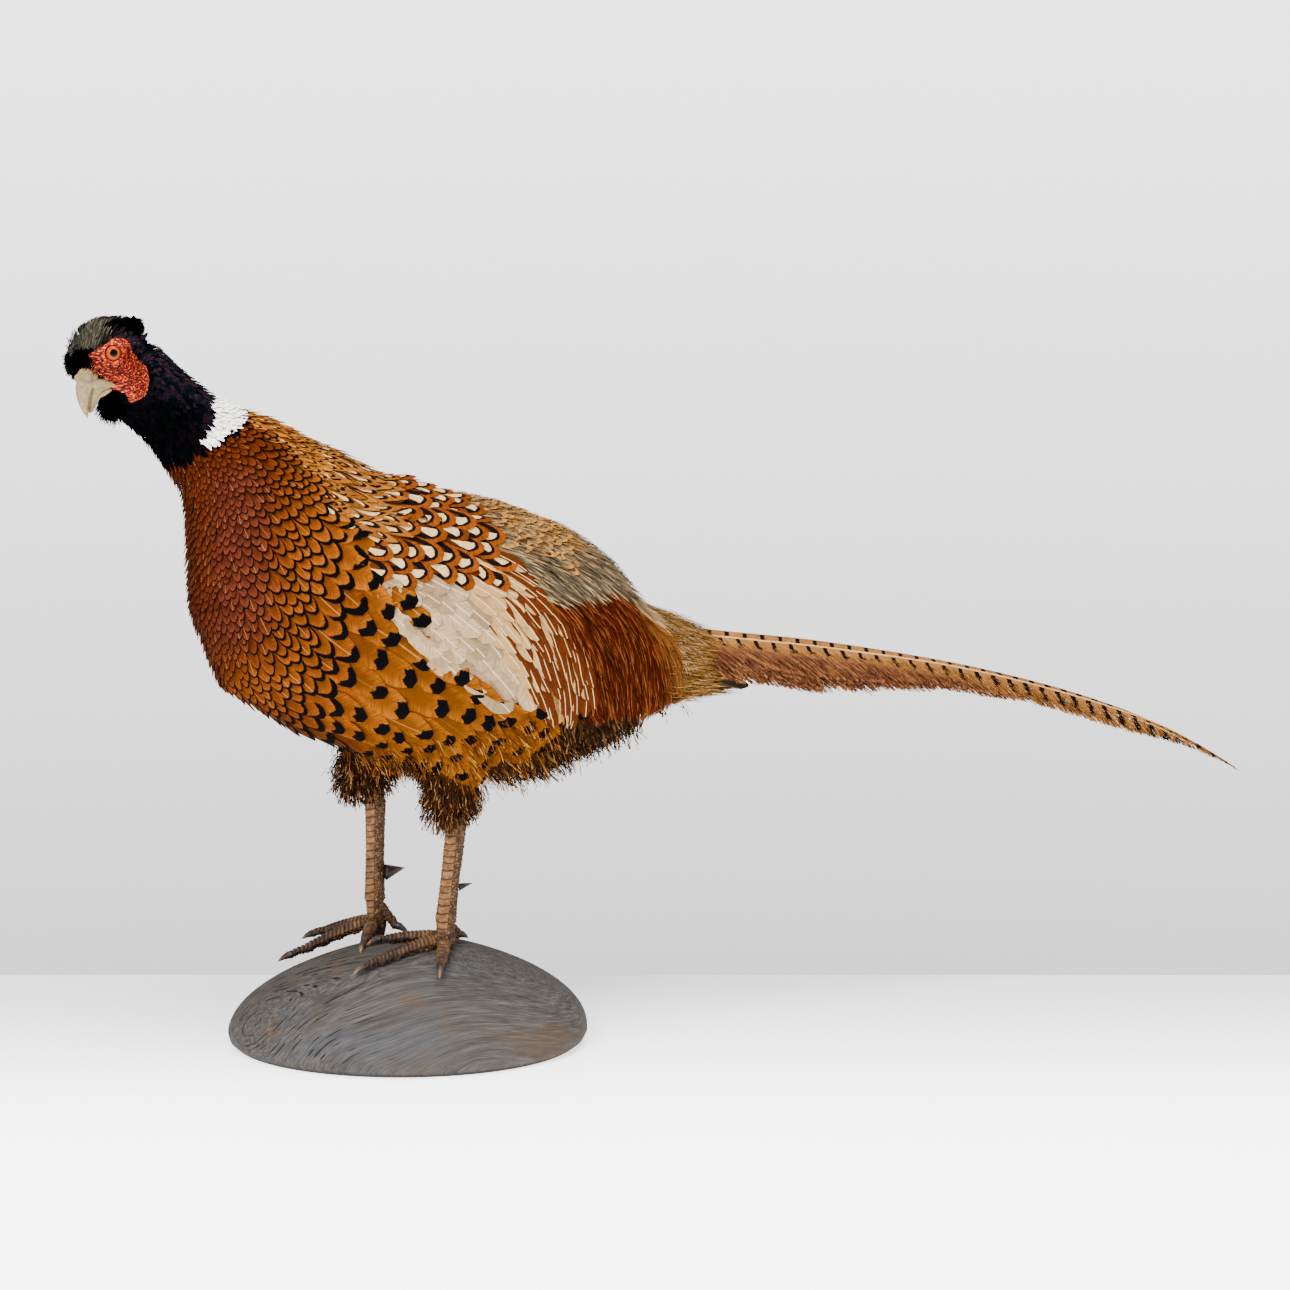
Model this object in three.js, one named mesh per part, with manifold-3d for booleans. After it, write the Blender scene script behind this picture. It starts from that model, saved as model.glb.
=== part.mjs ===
// A mounted cock pheasant, life size, standing on a smooth wooden dome.
// Millimetres, +Z up, origin at the centre of the dome's flat underside.
// The bird has a frame of its own: it faces -X there, its left side is -Y,
// and its feet stand near X = 0.
import * as THREE from "three";
import { mergeVertices } from "three/addons/utils/BufferGeometryUtils.js";
import Module from "manifold-3d";

const wasm = await Module();
wasm.setup();

// ---------------------------------------------------------------- driving dimensions

const gap = 0.3; // clearance between neighbouring pieces

const base = { length: 246, width: 166, height: 76.5, rim: 9, foot: 0.94, lean: 9, fullness: 1.6 };

const birdTurn = THREE.MathUtils.degToRad(20); // the bird's axis, turned from the dome's long axis
const birdOffset = new THREE.Vector3(1.3, 17, 0);

// The body from the nape to the end of the tail coverts: each station's centre, half width,
// and half depth above and below the centre line, square to it.
const body = {
  nape: { x: -196, y: -24, z: 480, w: 15, up: 17, down: 17 },
  throat: { x: -186, y: -19, z: 468, w: 23, up: 26, down: 27 },
  neck: { x: -163, y: -9, z: 446, w: 26, up: 28, down: 26 },
  collar: { x: -142, y: -3, z: 423, w: 31, up: 34, down: 29 },
  shoulder: { x: -121, y: 0, z: 398, w: 43, up: 55, down: 34 },
  breast: { x: -99, y: 0, z: 362, w: 56, up: 80, down: 59 },
  keel: { x: -65, y: 0, z: 319, w: 66, up: 96, down: 93 },
  wingTop: { x: -8, y: 0, z: 291, w: 71, up: 98, down: 94 },
  flank: { x: 48, y: 0, z: 277, w: 71, up: 96, down: 95 },
  hip: { x: 98, y: 0, z: 270, w: 61, up: 84, down: 90 },
  vent: { x: 132, y: 0, z: 264, w: 50, up: 66, down: 73 },
  rump: { x: 160, y: 0, z: 258, w: 39, up: 42, down: 56 },
  coverts: { x: 190, y: 0, z: 254, w: 29, up: 31, down: 37 },
  tailRoot: { x: 222, y: 0, z: 253, w: 21, up: 19, down: 23 },
  covertTips: { x: 244, y: 0, z: 250, w: 13, up: 12, down: 14 },
};
const neckCut = { x: -127, z: 408, tilt: -49 }; // where the collar meets the trunk
const rumpCut = { x: 158, z: 258, tilt: -6 }; // where the trunk meets the rump

// The head: its centre, and how it is turned, tipped and rolled from the body's heading.
const head = { x: -204.3, y: -25, z: 490.5, turn: 42, tip: 45, roll: -8.5 };
const skull = { back: 21, front: 27, halfWidth: 19.5, crown: 18.5, jaw: 24 };
const jowl = [
  { x: -13, y: 8, z: -3, w: 6 },
  { x: -10, y: 11, z: -14, w: 10 },
  { x: -10, y: 10.5, z: -25, w: 9.5 },
  { x: -13, y: 8, z: -34, w: 3 },
];
const throat = [
  { x: -2, z: -14, w: 15, up: 12 },
  { x: -15, z: -22, w: 12, up: 11 },
  { x: -29, z: -27, w: 9, up: 8 },
  { x: -40, z: -30, w: 3, up: 3 },
];
const eye = { radius: 5.4, forward: 11, side: 15.6, up: 5 };
const bill = { base: 22, length: 25.5, hook: 13.5, halfWidth: 7.3, depth: 8 };
const lowerBill = { length: 19, halfWidth: 4.8, depth: 3.6, drop: 8.5 };
const wattle = { thickness: 1.1, depth: 26 };
const earTuft = {
  path: [
    [-2, 13, 11],
    [6, 17, 9],
    [14, 21, 4],
    [20, 24, -1],
  ],
  widths: [3, 4.5, 4.5, 3],
  flatter: 0.8, // the right tuft's stand beside the left one's
};

// The loose lobe of feathers below the tail's root.
const undertail = [
  { x: 172, y: 0, z: 232, w: 10, up: 9 },
  { x: 205, y: 0, z: 227, w: 14, up: 9 },
  { x: 228, y: -1, z: 228, w: 10, up: 8 },
  { x: 242, y: -2, z: 227, w: 4, up: 3 },
];

// The folded wing, a shell over the trunk: its outline from the side, and its depth.
const wing = {
  depth: 5,
  reach: 90,
  bend: [-58, 345],
  front: [-46, 368],
  top: [0, 376],
  back: [62, 358],
  tertials: [104, 310],
  tip: [140, 244],
  primaries: [124, 218],
  lower: [62, 231],
  underside: [8, 268],
  wrist: [-32, 312],
};

// The legs: the knee inside the body, the hock, and the ankle above the toes.
const legs = {
  left: {
    side: -1,
    knee: { x: 26, y: -32, z: 230 },
    hock: { x: 26, y: -32, z: 162 },
    ankle: { x: 15.5, y: -36, z: 86 },
    ankleDrop: 9,
    boot: -5,
    ball: { x: 15.5, y: -37, z: 77, rx: 7.5, ry: 6.5, rz: 7.5 },
    heading: 8,
    toes: {
      inner: { turn: -34, length: 44, drop: 2 },
      middle: { turn: -2, length: 57, drop: 12 },
      outer: { turn: 59, length: 30, drop: 11 },
    },
    hallux: { length: 9, drop: 8 },
    spur: { length: 8, up: 0.34 },
  },
  right: {
    side: 1,
    knee: { x: -22, y: 30, z: 240 },
    hock: { x: -16.5, y: 19, z: 167 },
    ankle: { x: -18, y: 19.5, z: 90 },
    ankleDrop: 12,
    boot: -10,
    ball: { x: -17, y: 18, z: 76, rx: 6.5, ry: 6.5, rz: 13.5 },
    heading: -17,
    toes: {
      inner: { turn: 77, length: 32, drop: 7 },
      middle: { turn: 0, length: 57, drop: 24 },
      outer: { turn: -22, length: 45, drop: 14 },
    },
    hallux: { length: 12, drop: 14 },
    spur: { length: 12, up: 0.29 },
  },
};
const shank = { across: 4.9, along: 6.4, ankleSwell: 1.15 };
const thigh = { knee: 24, cuff: 16, cuffDrop: 10 };
const toe = { root: 5, tip: 3.2, claw: 2.6, clawLength: 11 };

// The tail: the ridge line that every feather follows, and the five pairs below it.
const tailRidge = [
  [241, 266],
  [300, 256],
  [370, 241],
  [440, 223],
  [515, 198.5],
  [580, 170],
  [648, 128],
];
const tail = {
  leftLengths: [424, 262, 176, 108, 60],
  rightLengths: [328, 232, 146, 84, 44],
  rootWidth: 13,
  width: 27,
  fullAt: 70,
  slope: 0.82,
  thickness: 0.7,
  step: 1.35,
  overlap: 3,
  station: 24,
};

// ---------------------------------------------------------------- colours

const colour = {
  base: [0x57524d, 0.75],
  head: [0x15171a, 0.55],
  neck: [0x14141c, 0.45],
  trunk: [0xa65a20, 0.7],
  rump: [0x7a4a22, 0.75],
  wing: [0xb9aa98, 0.7],
  thigh: [0x6a4322, 0.85],
  leg: [0x8a6a4a, 0.5],
  claw: [0x3d2f26, 0.4],
  bill: [0xcfc4ae, 0.4],
  eye: [0xd96a12, 0.1],
  wattle: [0xb5402c, 0.7],
  tail: [0xc09058, 0.65],
};

const group = new THREE.Group();
const bird = new THREE.Group();
bird.position.copy(birdOffset);
bird.rotation.z = birdTurn;
group.add(bird);

// ---------------------------------------------------------------- solids

// A manifold solid from a closed three.js geometry.
function solid(geometry) {
  const plain = geometry.clone();
  plain.deleteAttribute("normal");
  plain.deleteAttribute("uv");
  const merged = mergeVertices(plain, 1e-3);
  return new wasm.Manifold(
    new wasm.Mesh({
      numProp: 3,
      vertProperties: new Float32Array(merged.attributes.position.array),
      triVerts: new Uint32Array(merged.index.array),
    }),
  );
}

// A three.js mesh from a manifold solid, or the largest piece of it.
function add(parent, name, made, [hex, roughness]) {
  const pieces = made.decompose().sort((a, b) => b.volume() - a.volume());
  const data = pieces[0].getMesh();
  const geometry = new THREE.BufferGeometry();
  geometry.setAttribute("position", new THREE.BufferAttribute(data.vertProperties, 3));
  geometry.setIndex(new THREE.BufferAttribute(data.triVerts, 1));
  geometry.computeVertexNormals();
  const material = new THREE.MeshStandardMaterial({ color: hex, roughness, metalness: 0 });
  const mesh = new THREE.Mesh(geometry, material);
  mesh.name = name;
  parent.add(mesh);
  return mesh;
}

// A power that keeps its number's sign, for superellipse sections.
const signedPower = (value, power) => Math.sign(value) * Math.abs(value) ** power;

// A closed form through stations of { x, y, z, w, up, down }: a sphere whose poles are the first and
// last station, and whose rings are laid square to the smooth line between them.
// sideways is the section's own Y; grow adds to every half size, for the cutter of a neighbour.
function sweep(stations, { around, along, grow = 0, square = 1, sideways = [0, 1, 0] }) {
  const path = new THREE.CatmullRomCurve3(
    stations.map((s) => new THREE.Vector3(s.x, s.y, s.z)),
  );
  const sizes = new THREE.CatmullRomCurve3(
    stations.map((s) => new THREE.Vector3(s.w, s.up, s.down ?? s.up)),
  );
  const reference = new THREE.Vector3(...sideways);
  const geometry = new THREE.SphereGeometry(1, around, along);
  const position = geometry.attributes.position;
  for (let i = 0; i < position.count; i += 1) {
    const ring = Math.floor(i / (around + 1));
    const t = ring / along;
    const tangent = path.getTangent(t);
    const side = reference.clone().addScaledVector(tangent, -reference.dot(tangent)).normalize();
    const upward = tangent.clone().cross(side);
    const size = sizes.getPoint(t);
    const angle = ((i % (around + 1)) / around) * Math.PI * 2;
    const pole = ring === 0 || ring === along;
    const across = pole ? 0 : signedPower(-Math.cos(angle), square) * (Math.max(size.x, 0.05) + grow);
    const lift = signedPower(Math.sin(angle), square);
    const height = pole ? 0 : lift * (Math.max(lift > 0 ? size.y : size.z, 0.05) + grow);
    const point = path
      .getPoint(t)
      .addScaledVector(side, across)
      .addScaledVector(upward, height);
    if (pole) point.addScaledVector(tangent, ring === 0 ? -grow : grow);
    position.setXYZ(i, point.x, point.y, point.z);
  }
  return geometry;
}

// A slab standing over a side-view outline of [x, z] corners, from y = near outwards on one side.
function sidePrism(points, steps, depth, near) {
  const outline = new THREE.SplineCurve([...points, points[0]]).getPoints(steps).slice(0, -1);
  const prism = new THREE.ExtrudeGeometry(new THREE.Shape(outline), {
    depth,
    bevelEnabled: false,
    steps: 1,
  });
  return prism.rotateX(Math.PI / 2).translate(0, near > 0 ? near + depth : near, 0);
}

// A cone-like station list along a line, shrinking from one half size to another.
const taper = (points, widths) =>
  points.map(([x, y, z], i) => ({ x, y, z, w: widths[i], up: widths[i] }));

// A plane square to the body's side view: its normal leans by tilt degrees from +X.
function cutPlane({ x, z, tilt }) {
  const angle = THREE.MathUtils.degToRad(tilt);
  const normal = [Math.cos(angle), 0, Math.sin(angle)];
  return { normal, offset: normal[0] * x + normal[2] * z };
}

const after = (made, plane) => made.trimByPlane(plane.normal, plane.offset + gap / 2);
const before = (made, plane) =>
  made.trimByPlane(
    plane.normal.map((n) => -n),
    -plane.offset + gap / 2,
  );

// ---------------------------------------------------------------- base

// The dome: it swells a little from the flat foot to its rim, then closes in rings to a soft top,
// which leans off centre.
function domeGeometry(grow = 0) {
  const { length, width, height, rim, foot, lean, fullness } = base;
  const around = 32;
  const rings = 10;
  const geometry = new THREE.SphereGeometry(1, around, rings);
  const position = geometry.attributes.position;
  for (let i = 0; i < position.count; i += 1) {
    const ring = Math.floor(i / (around + 1));
    const angle = ((i % (around + 1)) / around) * Math.PI * 2;
    const climb = Math.max(1 - ring / (rings - 2), 0) * Math.PI * 0.5;
    let share = Math.cos(climb) ** fullness;
    let level = rim + (height - rim) * Math.sin(climb) + grow;
    if (ring >= rings - 1) {
      share = ring === rings ? 0 : foot;
      level = -grow;
    }
    const x = -Math.cos(angle) * share * (length / 2 + grow) + (lean * level) / height;
    const y = -Math.sin(angle) * share * (width / 2 + grow);
    position.setXYZ(i, x, y, level);
  }
  return geometry;
}

const dome = solid(domeGeometry());
add(group, "base_dome", dome, colour.base);

// The dome in the bird's own frame, grown by the clearance, for the feet to rest on.
const domeCutter = solid(
  domeGeometry(gap)
    .translate(-birdOffset.x, -birdOffset.y, -birdOffset.z)
    .rotateZ(-birdTurn),
);

// ---------------------------------------------------------------- head

const headFrame = new THREE.Matrix4()
  .makeTranslation(head.x, head.y, head.z)
  .multiply(new THREE.Matrix4().makeRotationZ(THREE.MathUtils.degToRad(head.turn)))
  .multiply(new THREE.Matrix4().makeRotationY(THREE.MathUtils.degToRad(-head.tip)))
  .multiply(new THREE.Matrix4().makeRotationX(THREE.MathUtils.degToRad(head.roll)));

// In the head's frame the bill points along -X, the left side is -Y and the crown is +Z.
const inHead = (geometry) => solid(geometry.applyMatrix4(headFrame));

function skullGeometry(grow = 0) {
  const { back, front, halfWidth, crown, jaw } = skull;
  return sweep(
    [
      { x: -front, y: 0, z: 1, w: 5, up: 6, down: 7 },
      { x: -front + 5, y: 0, z: 0, w: 12, up: 13, down: 13 },
      { x: -front + 14, y: 0, z: 0, w: halfWidth - 2, up: crown - 1, down: jaw - 5 },
      { x: -3, y: 0, z: 0, w: halfWidth, up: crown, down: jaw },
      { x: 8, y: 0, z: 0, w: halfWidth - 1, up: crown, down: jaw },
      { x: back - 6, y: 0, z: 1, w: halfWidth - 5, up: crown - 5, down: jaw - 6 },
      { x: back, y: 0, z: 2, w: 5, up: 5, down: 7 },
    ],
    { around: 12, along: 8, grow },
  );
}

// The upper bill: straight from the forehead, then bending down to its hooked tip.
function billGeometry(grow = 0) {
  const { base: root, length, hook, halfWidth, depth } = bill;
  const at = (reach, z, share) => ({
    x: -root - length * reach,
    y: 0,
    z,
    w: halfWidth * share,
    up: depth * share,
    down: depth * share * 0.58,
  });
  return sweep(
    [
      at(-0.16, -1, 0.86),
      at(0.08, -1, 1),
      at(0.36, -1, 0.93),
      at(0.63, -3, 0.74),
      at(0.85, -hook * 0.52, 0.45),
      { x: -root - length, y: 0, z: -hook, w: 0.5, up: 0.6 },
    ],
    { around: 8, along: 8, grow },
  );
}

function lowerBillGeometry(grow = 0) {
  const { length, halfWidth, depth, drop } = lowerBill;
  const root = bill.base;
  return sweep(
    [
      { x: -root + 6, y: 0, z: -drop, w: halfWidth, up: depth * 0.6, down: depth * 0.8 },
      { x: -root - 2, y: 0, z: -drop, w: halfWidth, up: depth * 0.6, down: depth },
      { x: -root - length * 0.6, y: 0, z: -drop - 1.4, w: halfWidth * 0.72, up: depth * 0.5 },
      { x: -root - length, y: 0, z: -drop - 4, w: 0.8, up: 0.6 },
    ],
    { around: 8, along: 5, grow },
  );
}

function eyeGeometry(side, grow = 0) {
  return new THREE.SphereGeometry(eye.radius + grow, 10, 7).translate(
    -eye.forward,
    side * eye.side,
    eye.up,
  );
}

// The bare face: an outline seen from the side of the head, forward and up from its centre.
const wattleOutline = [
  [24, 14],
  [14, 14.5],
  [3, 11],
  [-4, 2],
  [-6, -10],
  [-4, -24],
  [6, -34],
  [17, -34],
  [22, -26],
  [22, -18],
  [26, -9],
  [28, 3],
];

function wattlePrism(side, grow = 0) {
  const points = wattleOutline.map(([forward, up]) => {
    const out = grow / Math.hypot(forward - 8, up + 5);
    return new THREE.Vector2(-forward - (forward - 8) * out, up + (up + 5) * out);
  });
  return sidePrism(points, 20, wattle.depth, side * 4);
}

// The tuft of longer feathers behind the brow.
function tuftGeometry(side, grow = 0) {
  const splay = side > 0 ? earTuft.flatter : 1;
  const points = earTuft.path.map(([back, out, up]) => [back, side * out * splay, up * splay]);
  return sweep(taper(points, earTuft.widths), { around: 6, along: 4, grow });
}

// The whole head's form: the skull, the jowls below the eyes and the throat's loose feathers.
function headForm(grow = 0) {
  let form = inHead(skullGeometry(grow));
  for (const side of [-1, 1]) {
    const cheek = jowl.map((s) => ({ ...s, y: side * s.y, up: s.w }));
    form = form.add(inHead(sweep(cheek, { around: 6, along: 4, grow })));
  }
  const bib = throat.map((s) => ({ y: 0, ...s }));
  return form.add(inHead(sweep(bib, { around: 6, along: 4, grow })));
}

const bills = inHead(billGeometry(gap)).add(inHead(lowerBillGeometry(gap)));
const headClear = headForm(gap);
const faceLayer = headForm(gap + wattle.thickness).subtract(headClear).subtract(bills);
const faceCutter = headForm(2 * gap + wattle.thickness);
let headCutter = headClear.add(bills);
let headSolid = headForm().subtract(bills);
for (const [name, side] of [
  ["left", -1],
  ["right", 1],
]) {
  const eyeCutter = inHead(eyeGeometry(side, gap));
  const face = faceLayer.intersect(inHead(wattlePrism(side))).subtract(eyeCutter);
  add(bird, `wattle_${name}`, face, colour.wattle);
  add(bird, `eye_${name}`, inHead(eyeGeometry(side)), colour.eye);
  add(bird, `ear_tuft_${name}`, inHead(tuftGeometry(side)).subtract(headClear), colour.head);
  headSolid = headSolid.subtract(eyeCutter);
  headCutter = headCutter
    .add(faceCutter.intersect(inHead(wattlePrism(side, gap))))
    .add(inHead(tuftGeometry(side, gap)));
}
add(bird, "head", headSolid, colour.head);
const upperBill = inHead(billGeometry());
add(bird, "bill_upper", upperBill, colour.bill);
add(bird, "bill_lower", inHead(lowerBillGeometry()).subtract(inHead(billGeometry(gap))), colour.bill);

// ---------------------------------------------------------------- body

const bodyGeometry = (grow = 0) =>
  sweep(Object.values(body), { around: 20, along: 26, grow, square: 0.94 });

const bodySolid = solid(bodyGeometry());
const neckPlane = cutPlane(neckCut);
const rumpPlane = cutPlane(rumpCut);

// The tail's ridge line leaves the rump's flat end squarely.
const ridge = new THREE.CatmullRomCurve3(tailRidge.map(([x, z]) => new THREE.Vector3(x, 0, z)));
const ridgeLength = ridge.getLength();
const ridgeStart = ridge.getTangentAt(0);
const tailPlane = { normal: ridgeStart.toArray(), offset: ridgeStart.dot(ridge.getPointAt(0)) };

// The folded wing: the layer between two grown bodies, inside the wing's outline.
const wingShell = solid(bodyGeometry(wing.depth)).subtract(solid(bodyGeometry(gap)));

function wingPrism(side) {
  const { bend, front, top, back, tertials, tip, primaries, lower, underside, wrist } = wing;
  const corners = [bend, front, top, back, tertials, tip, primaries, lower, underside, wrist];
  const points = corners.map(([x, z]) => new THREE.Vector2(x, z));
  return sidePrism(points, 26, wing.reach, side * 4);
}

for (const [name, side] of [
  ["left", -1],
  ["right", 1],
]) {
  add(bird, `wing_${name}`, wingShell.intersect(solid(wingPrism(side))), colour.wing);
}

// ---------------------------------------------------------------- legs

// One toe and its claw, from the ankle's ball outwards along the heading, arched and dropping.
function toeParts(ball, heading, { length, drop }, root = toe.root) {
  const angle = THREE.MathUtils.degToRad(heading);
  const out = (share, rise) => [
    ball.x - Math.cos(angle) * length * share,
    ball.y - Math.sin(angle) * length * share,
    ball.z - drop * share + rise,
  ];
  const across = [Math.sin(angle), -Math.cos(angle), 0];
  const [x, y, z] = out(1, 0);
  const digit = sweep(
    taper(
      [out(-0.05, 0), out(0.1, 0.8), out(0.35, 1.6), out(0.6, 1.4), out(0.85, 0.6), out(1, 0)],
      [root * 0.7, root, root * 0.86, root * 0.8, toe.tip, toe.tip * 0.6],
    ),
    { around: 6, along: 7, sideways: across },
  );
  const clawAt = (reach, fall) => [
    x - Math.cos(angle) * reach,
    y - Math.sin(angle) * reach,
    z - fall,
  ];
  const clawGeometry = (grow) =>
    sweep(
      taper(
        [clawAt(-2, -0.6), clawAt(1, -0.6), clawAt(toe.clawLength * 0.5, 1), clawAt(toe.clawLength, 5)],
        [toe.claw * 0.8, toe.claw, toe.claw * 0.6, 0.4],
      ),
      { around: 6, along: 4, grow, sideways: across },
    );
  return { digit: solid(digit), claw: solid(clawGeometry(0)), clawCutter: solid(clawGeometry(gap)) };
}

function thighGeometry({ knee, hock, boot }, grow = 0) {
  return sweep(
    [
      { ...knee, z: knee.z + 8, w: 12, up: 16 },
      { ...knee, w: thigh.knee, up: thigh.knee * 1.25 },
      {
        x: (knee.x + hock.x) / 2,
        y: (knee.y + hock.y) / 2,
        z: (knee.z + hock.z) / 2,
        w: thigh.knee * 0.86,
        up: thigh.knee,
      },
      { ...hock, x: hock.x + boot, z: hock.z + thigh.cuffDrop, w: thigh.cuff, up: thigh.cuff * 1.12 },
      { ...hock, x: hock.x + boot, z: hock.z - 2, w: thigh.cuff * 0.8, up: thigh.cuff * 0.9 },
      { ...hock, z: hock.z - 8, w: 5, up: 5 },
    ],
    { around: 12, along: 8, grow },
  );
}

function shankGeometry({ hock, ankle }, grow = 0) {
  const { across, along, ankleSwell } = shank;
  const at = (share) => ({
    x: hock.x + (ankle.x - hock.x) * share,
    y: hock.y + (ankle.y - hock.y) * share,
    z: hock.z + (ankle.z - hock.z) * share,
  });
  return sweep(
    [
      { ...at(-0.06), w: across, up: along },
      { ...at(0.08), w: across * 1.1, up: along * 1.15 },
      { ...at(0.3), w: across, up: along },
      { ...at(0.75), w: across, up: along },
      { ...at(0.95), w: across * ankleSwell, up: along * ankleSwell },
      { ...at(1), w: across, up: along },
    ],
    { around: 10, along: 6, grow },
  );
}

let trunkCutter = null;
for (const [name, leg] of Object.entries(legs)) {
  const { ankle, ankleDrop, hock, ball, heading, side, toes, hallux, spur } = leg;
  const joint = { x: ankle.x, y: ankle.y, z: ankle.z - ankleDrop };
  const shankCutter = solid(shankGeometry(leg, gap));
  let foot = null;
  const claws = {};
  const cutters = [];
  for (const [toeName, digit] of Object.entries(toes)) {
    const parts = toeParts(joint, heading + digit.turn, digit);
    foot = foot ? foot.add(parts.digit) : parts.digit;
    claws[toeName] = parts.claw;
    cutters.push(parts.clawCutter);
  }
  const back = { x: ankle.x + 3, y: ankle.y, z: ankle.z - 1 };
  const hind = toeParts(back, heading + 180 - side * 24, hallux, 3.6);
  foot = foot.add(hind.digit);
  claws.hallux = hind.claw;
  cutters.push(hind.clawCutter);
  const palm = solid(
    new THREE.SphereGeometry(1, 8, 6).scale(ball.rx, ball.ry, ball.rz).translate(ball.x, ball.y, ball.z),
  );
  foot = foot.add(palm).subtract(shankCutter).subtract(domeCutter);
  for (const cutter of cutters) foot = foot.subtract(cutter);
  add(bird, `foot_${name}`, foot, colour.leg);
  for (const [toeName, claw] of Object.entries(claws)) {
    add(bird, `claw_${toeName}_${name}`, claw.subtract(domeCutter), colour.claw);
  }
  const spurRoot = {
    x: ankle.x + (hock.x - ankle.x) * spur.up + shank.along - 2,
    y: ankle.y - side * 2,
    z: ankle.z + (hock.z - ankle.z) * spur.up,
  };
  const spurSolid = solid(
    sweep(
      taper(
        [
          [spurRoot.x, spurRoot.y, spurRoot.z],
          [spurRoot.x + 3, spurRoot.y, spurRoot.z],
          [spurRoot.x + 2 + spur.length * 0.5, spurRoot.y, spurRoot.z + 0.5],
          [spurRoot.x + 2 + spur.length, spurRoot.y, spurRoot.z + 1.5],
        ],
        [3.4, 3, 1.7, 0.4],
      ),
      { around: 6, along: 4 },
    ),
  );
  add(bird, `spur_${name}`, spurSolid.subtract(shankCutter), colour.claw);
  add(bird, `shank_${name}`, solid(shankGeometry(leg)), colour.leg);
  const thighSolid = solid(thighGeometry(leg)).subtract(solid(bodyGeometry(gap))).subtract(shankCutter);
  add(bird, `thigh_${name}`, thighSolid, colour.thigh);
  trunkCutter = trunkCutter ? trunkCutter.add(shankCutter) : shankCutter;
}

const torso = bodySolid.subtract(trunkCutter);
add(bird, "neck", before(bodySolid, neckPlane).subtract(headCutter), colour.neck);
add(bird, "trunk", before(after(torso, neckPlane), rumpPlane), colour.trunk);
add(bird, "rump", before(after(torso, rumpPlane), tailPlane), colour.rump);

const lobe = solid(sweep(undertail, { around: 10, along: 6 })).subtract(solid(bodyGeometry(gap)));
add(bird, "undertail", before(lobe, tailPlane), colour.rump);

// ---------------------------------------------------------------- tail

// One tail feather: a thin blade that drapes from the ridge down one side, on its own level.
// Its section is flat across the ridge and then straight, and its stations stand at the same
// distances as its neighbours', so that the blades lie parallel.
function featherGeometry(side, length, level) {
  const { rootWidth, width, fullAt, slope, thickness, overlap, station } = tail;
  const along = Math.ceil(length / station);
  const geometry = new THREE.BoxGeometry(1, 1, 1, 3, 1, along);
  const position = geometry.attributes.position;
  for (let i = 0; i < position.count; i += 1) {
    const step = Math.round((position.getZ(i) + 0.5) * along);
    const reach = gap / 2 + Math.min(step * station, length);
    const share = Math.min((step * station) / length, 1);
    const full = rootWidth + (width - rootWidth) * THREE.MathUtils.smoothstep(reach, 0, fullAt);
    const narrowing = 1 - 0.45 * THREE.MathUtils.smoothstep(reach, 90, ridgeLength);
    const point = Math.sqrt(Math.max(1 - THREE.MathUtils.smoothstep(share, 0.62, 1.02), 0));
    const span = Math.max(full * narrowing * point, 0.8);
    const column = Math.round((0.5 + side * position.getX(i)) * 3);
    const kink = Math.min(overlap, span * 0.4);
    const across = column === 0 ? -kink : kink + ((span - kink) * (column - 1)) / 2;
    const drop = slope * Math.max(Math.abs(across) - overlap, 0);
    const at = ridge.getPointAt(Math.min(reach / ridgeLength, 1));
    const tangent = ridge.getTangentAt(Math.min(reach / ridgeLength, 1));
    const normal = new THREE.Vector3(-tangent.z, 0, tangent.x);
    const height = position.getY(i) * thickness * Math.hypot(1, slope) - drop - level;
    at.addScaledVector(normal, height);
    position.setXYZ(i, at.x, side * across, at.z);
  }
  return geometry;
}

for (const [name, side, lengths, first] of [
  ["left", -1, tail.leftLengths, 0],
  ["right", 1, tail.rightLengths, 1],
]) {
  lengths.forEach((length, i) => {
    const level = (first + 2 * i) * tail.step;
    const feather = solid(featherGeometry(side, length, level));
    add(bird, `tail_${name}_${i + 1}`, feather, colour.tail);
  });
}

export default group;
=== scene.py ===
import math

import bmesh
import bpy
import numpy as np
from mathutils import Matrix, Vector, noise
from mathutils.bvhtree import BVHTree


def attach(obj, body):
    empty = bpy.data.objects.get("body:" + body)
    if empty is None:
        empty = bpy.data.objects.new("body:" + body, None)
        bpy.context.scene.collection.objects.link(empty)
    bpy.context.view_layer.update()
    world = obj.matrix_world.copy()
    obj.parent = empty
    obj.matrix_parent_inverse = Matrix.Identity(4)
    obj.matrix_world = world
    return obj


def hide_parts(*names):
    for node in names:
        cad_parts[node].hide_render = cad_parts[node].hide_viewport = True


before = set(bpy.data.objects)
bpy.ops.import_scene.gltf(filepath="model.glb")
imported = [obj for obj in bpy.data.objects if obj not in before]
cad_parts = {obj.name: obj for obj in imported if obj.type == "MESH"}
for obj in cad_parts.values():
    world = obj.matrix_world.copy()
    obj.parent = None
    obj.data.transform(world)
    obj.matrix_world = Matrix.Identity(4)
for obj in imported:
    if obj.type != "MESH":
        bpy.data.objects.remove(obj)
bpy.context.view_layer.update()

mm = 0.001
draw = np.random.default_rng(11)
noise.seed_set(11)
sides = {"left": -1, "right": 1}

# The bird faces -X in its own frame, with its left side towards -Y.
bird = {"turn": 20, "offset": (1.3, 17, 0)}
birdTurn = Matrix.Rotation(math.radians(bird["turn"]), 4, "Z")
birdFrame = Matrix.Translation(Vector(bird["offset"]) * mm) @ birdTurn

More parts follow.
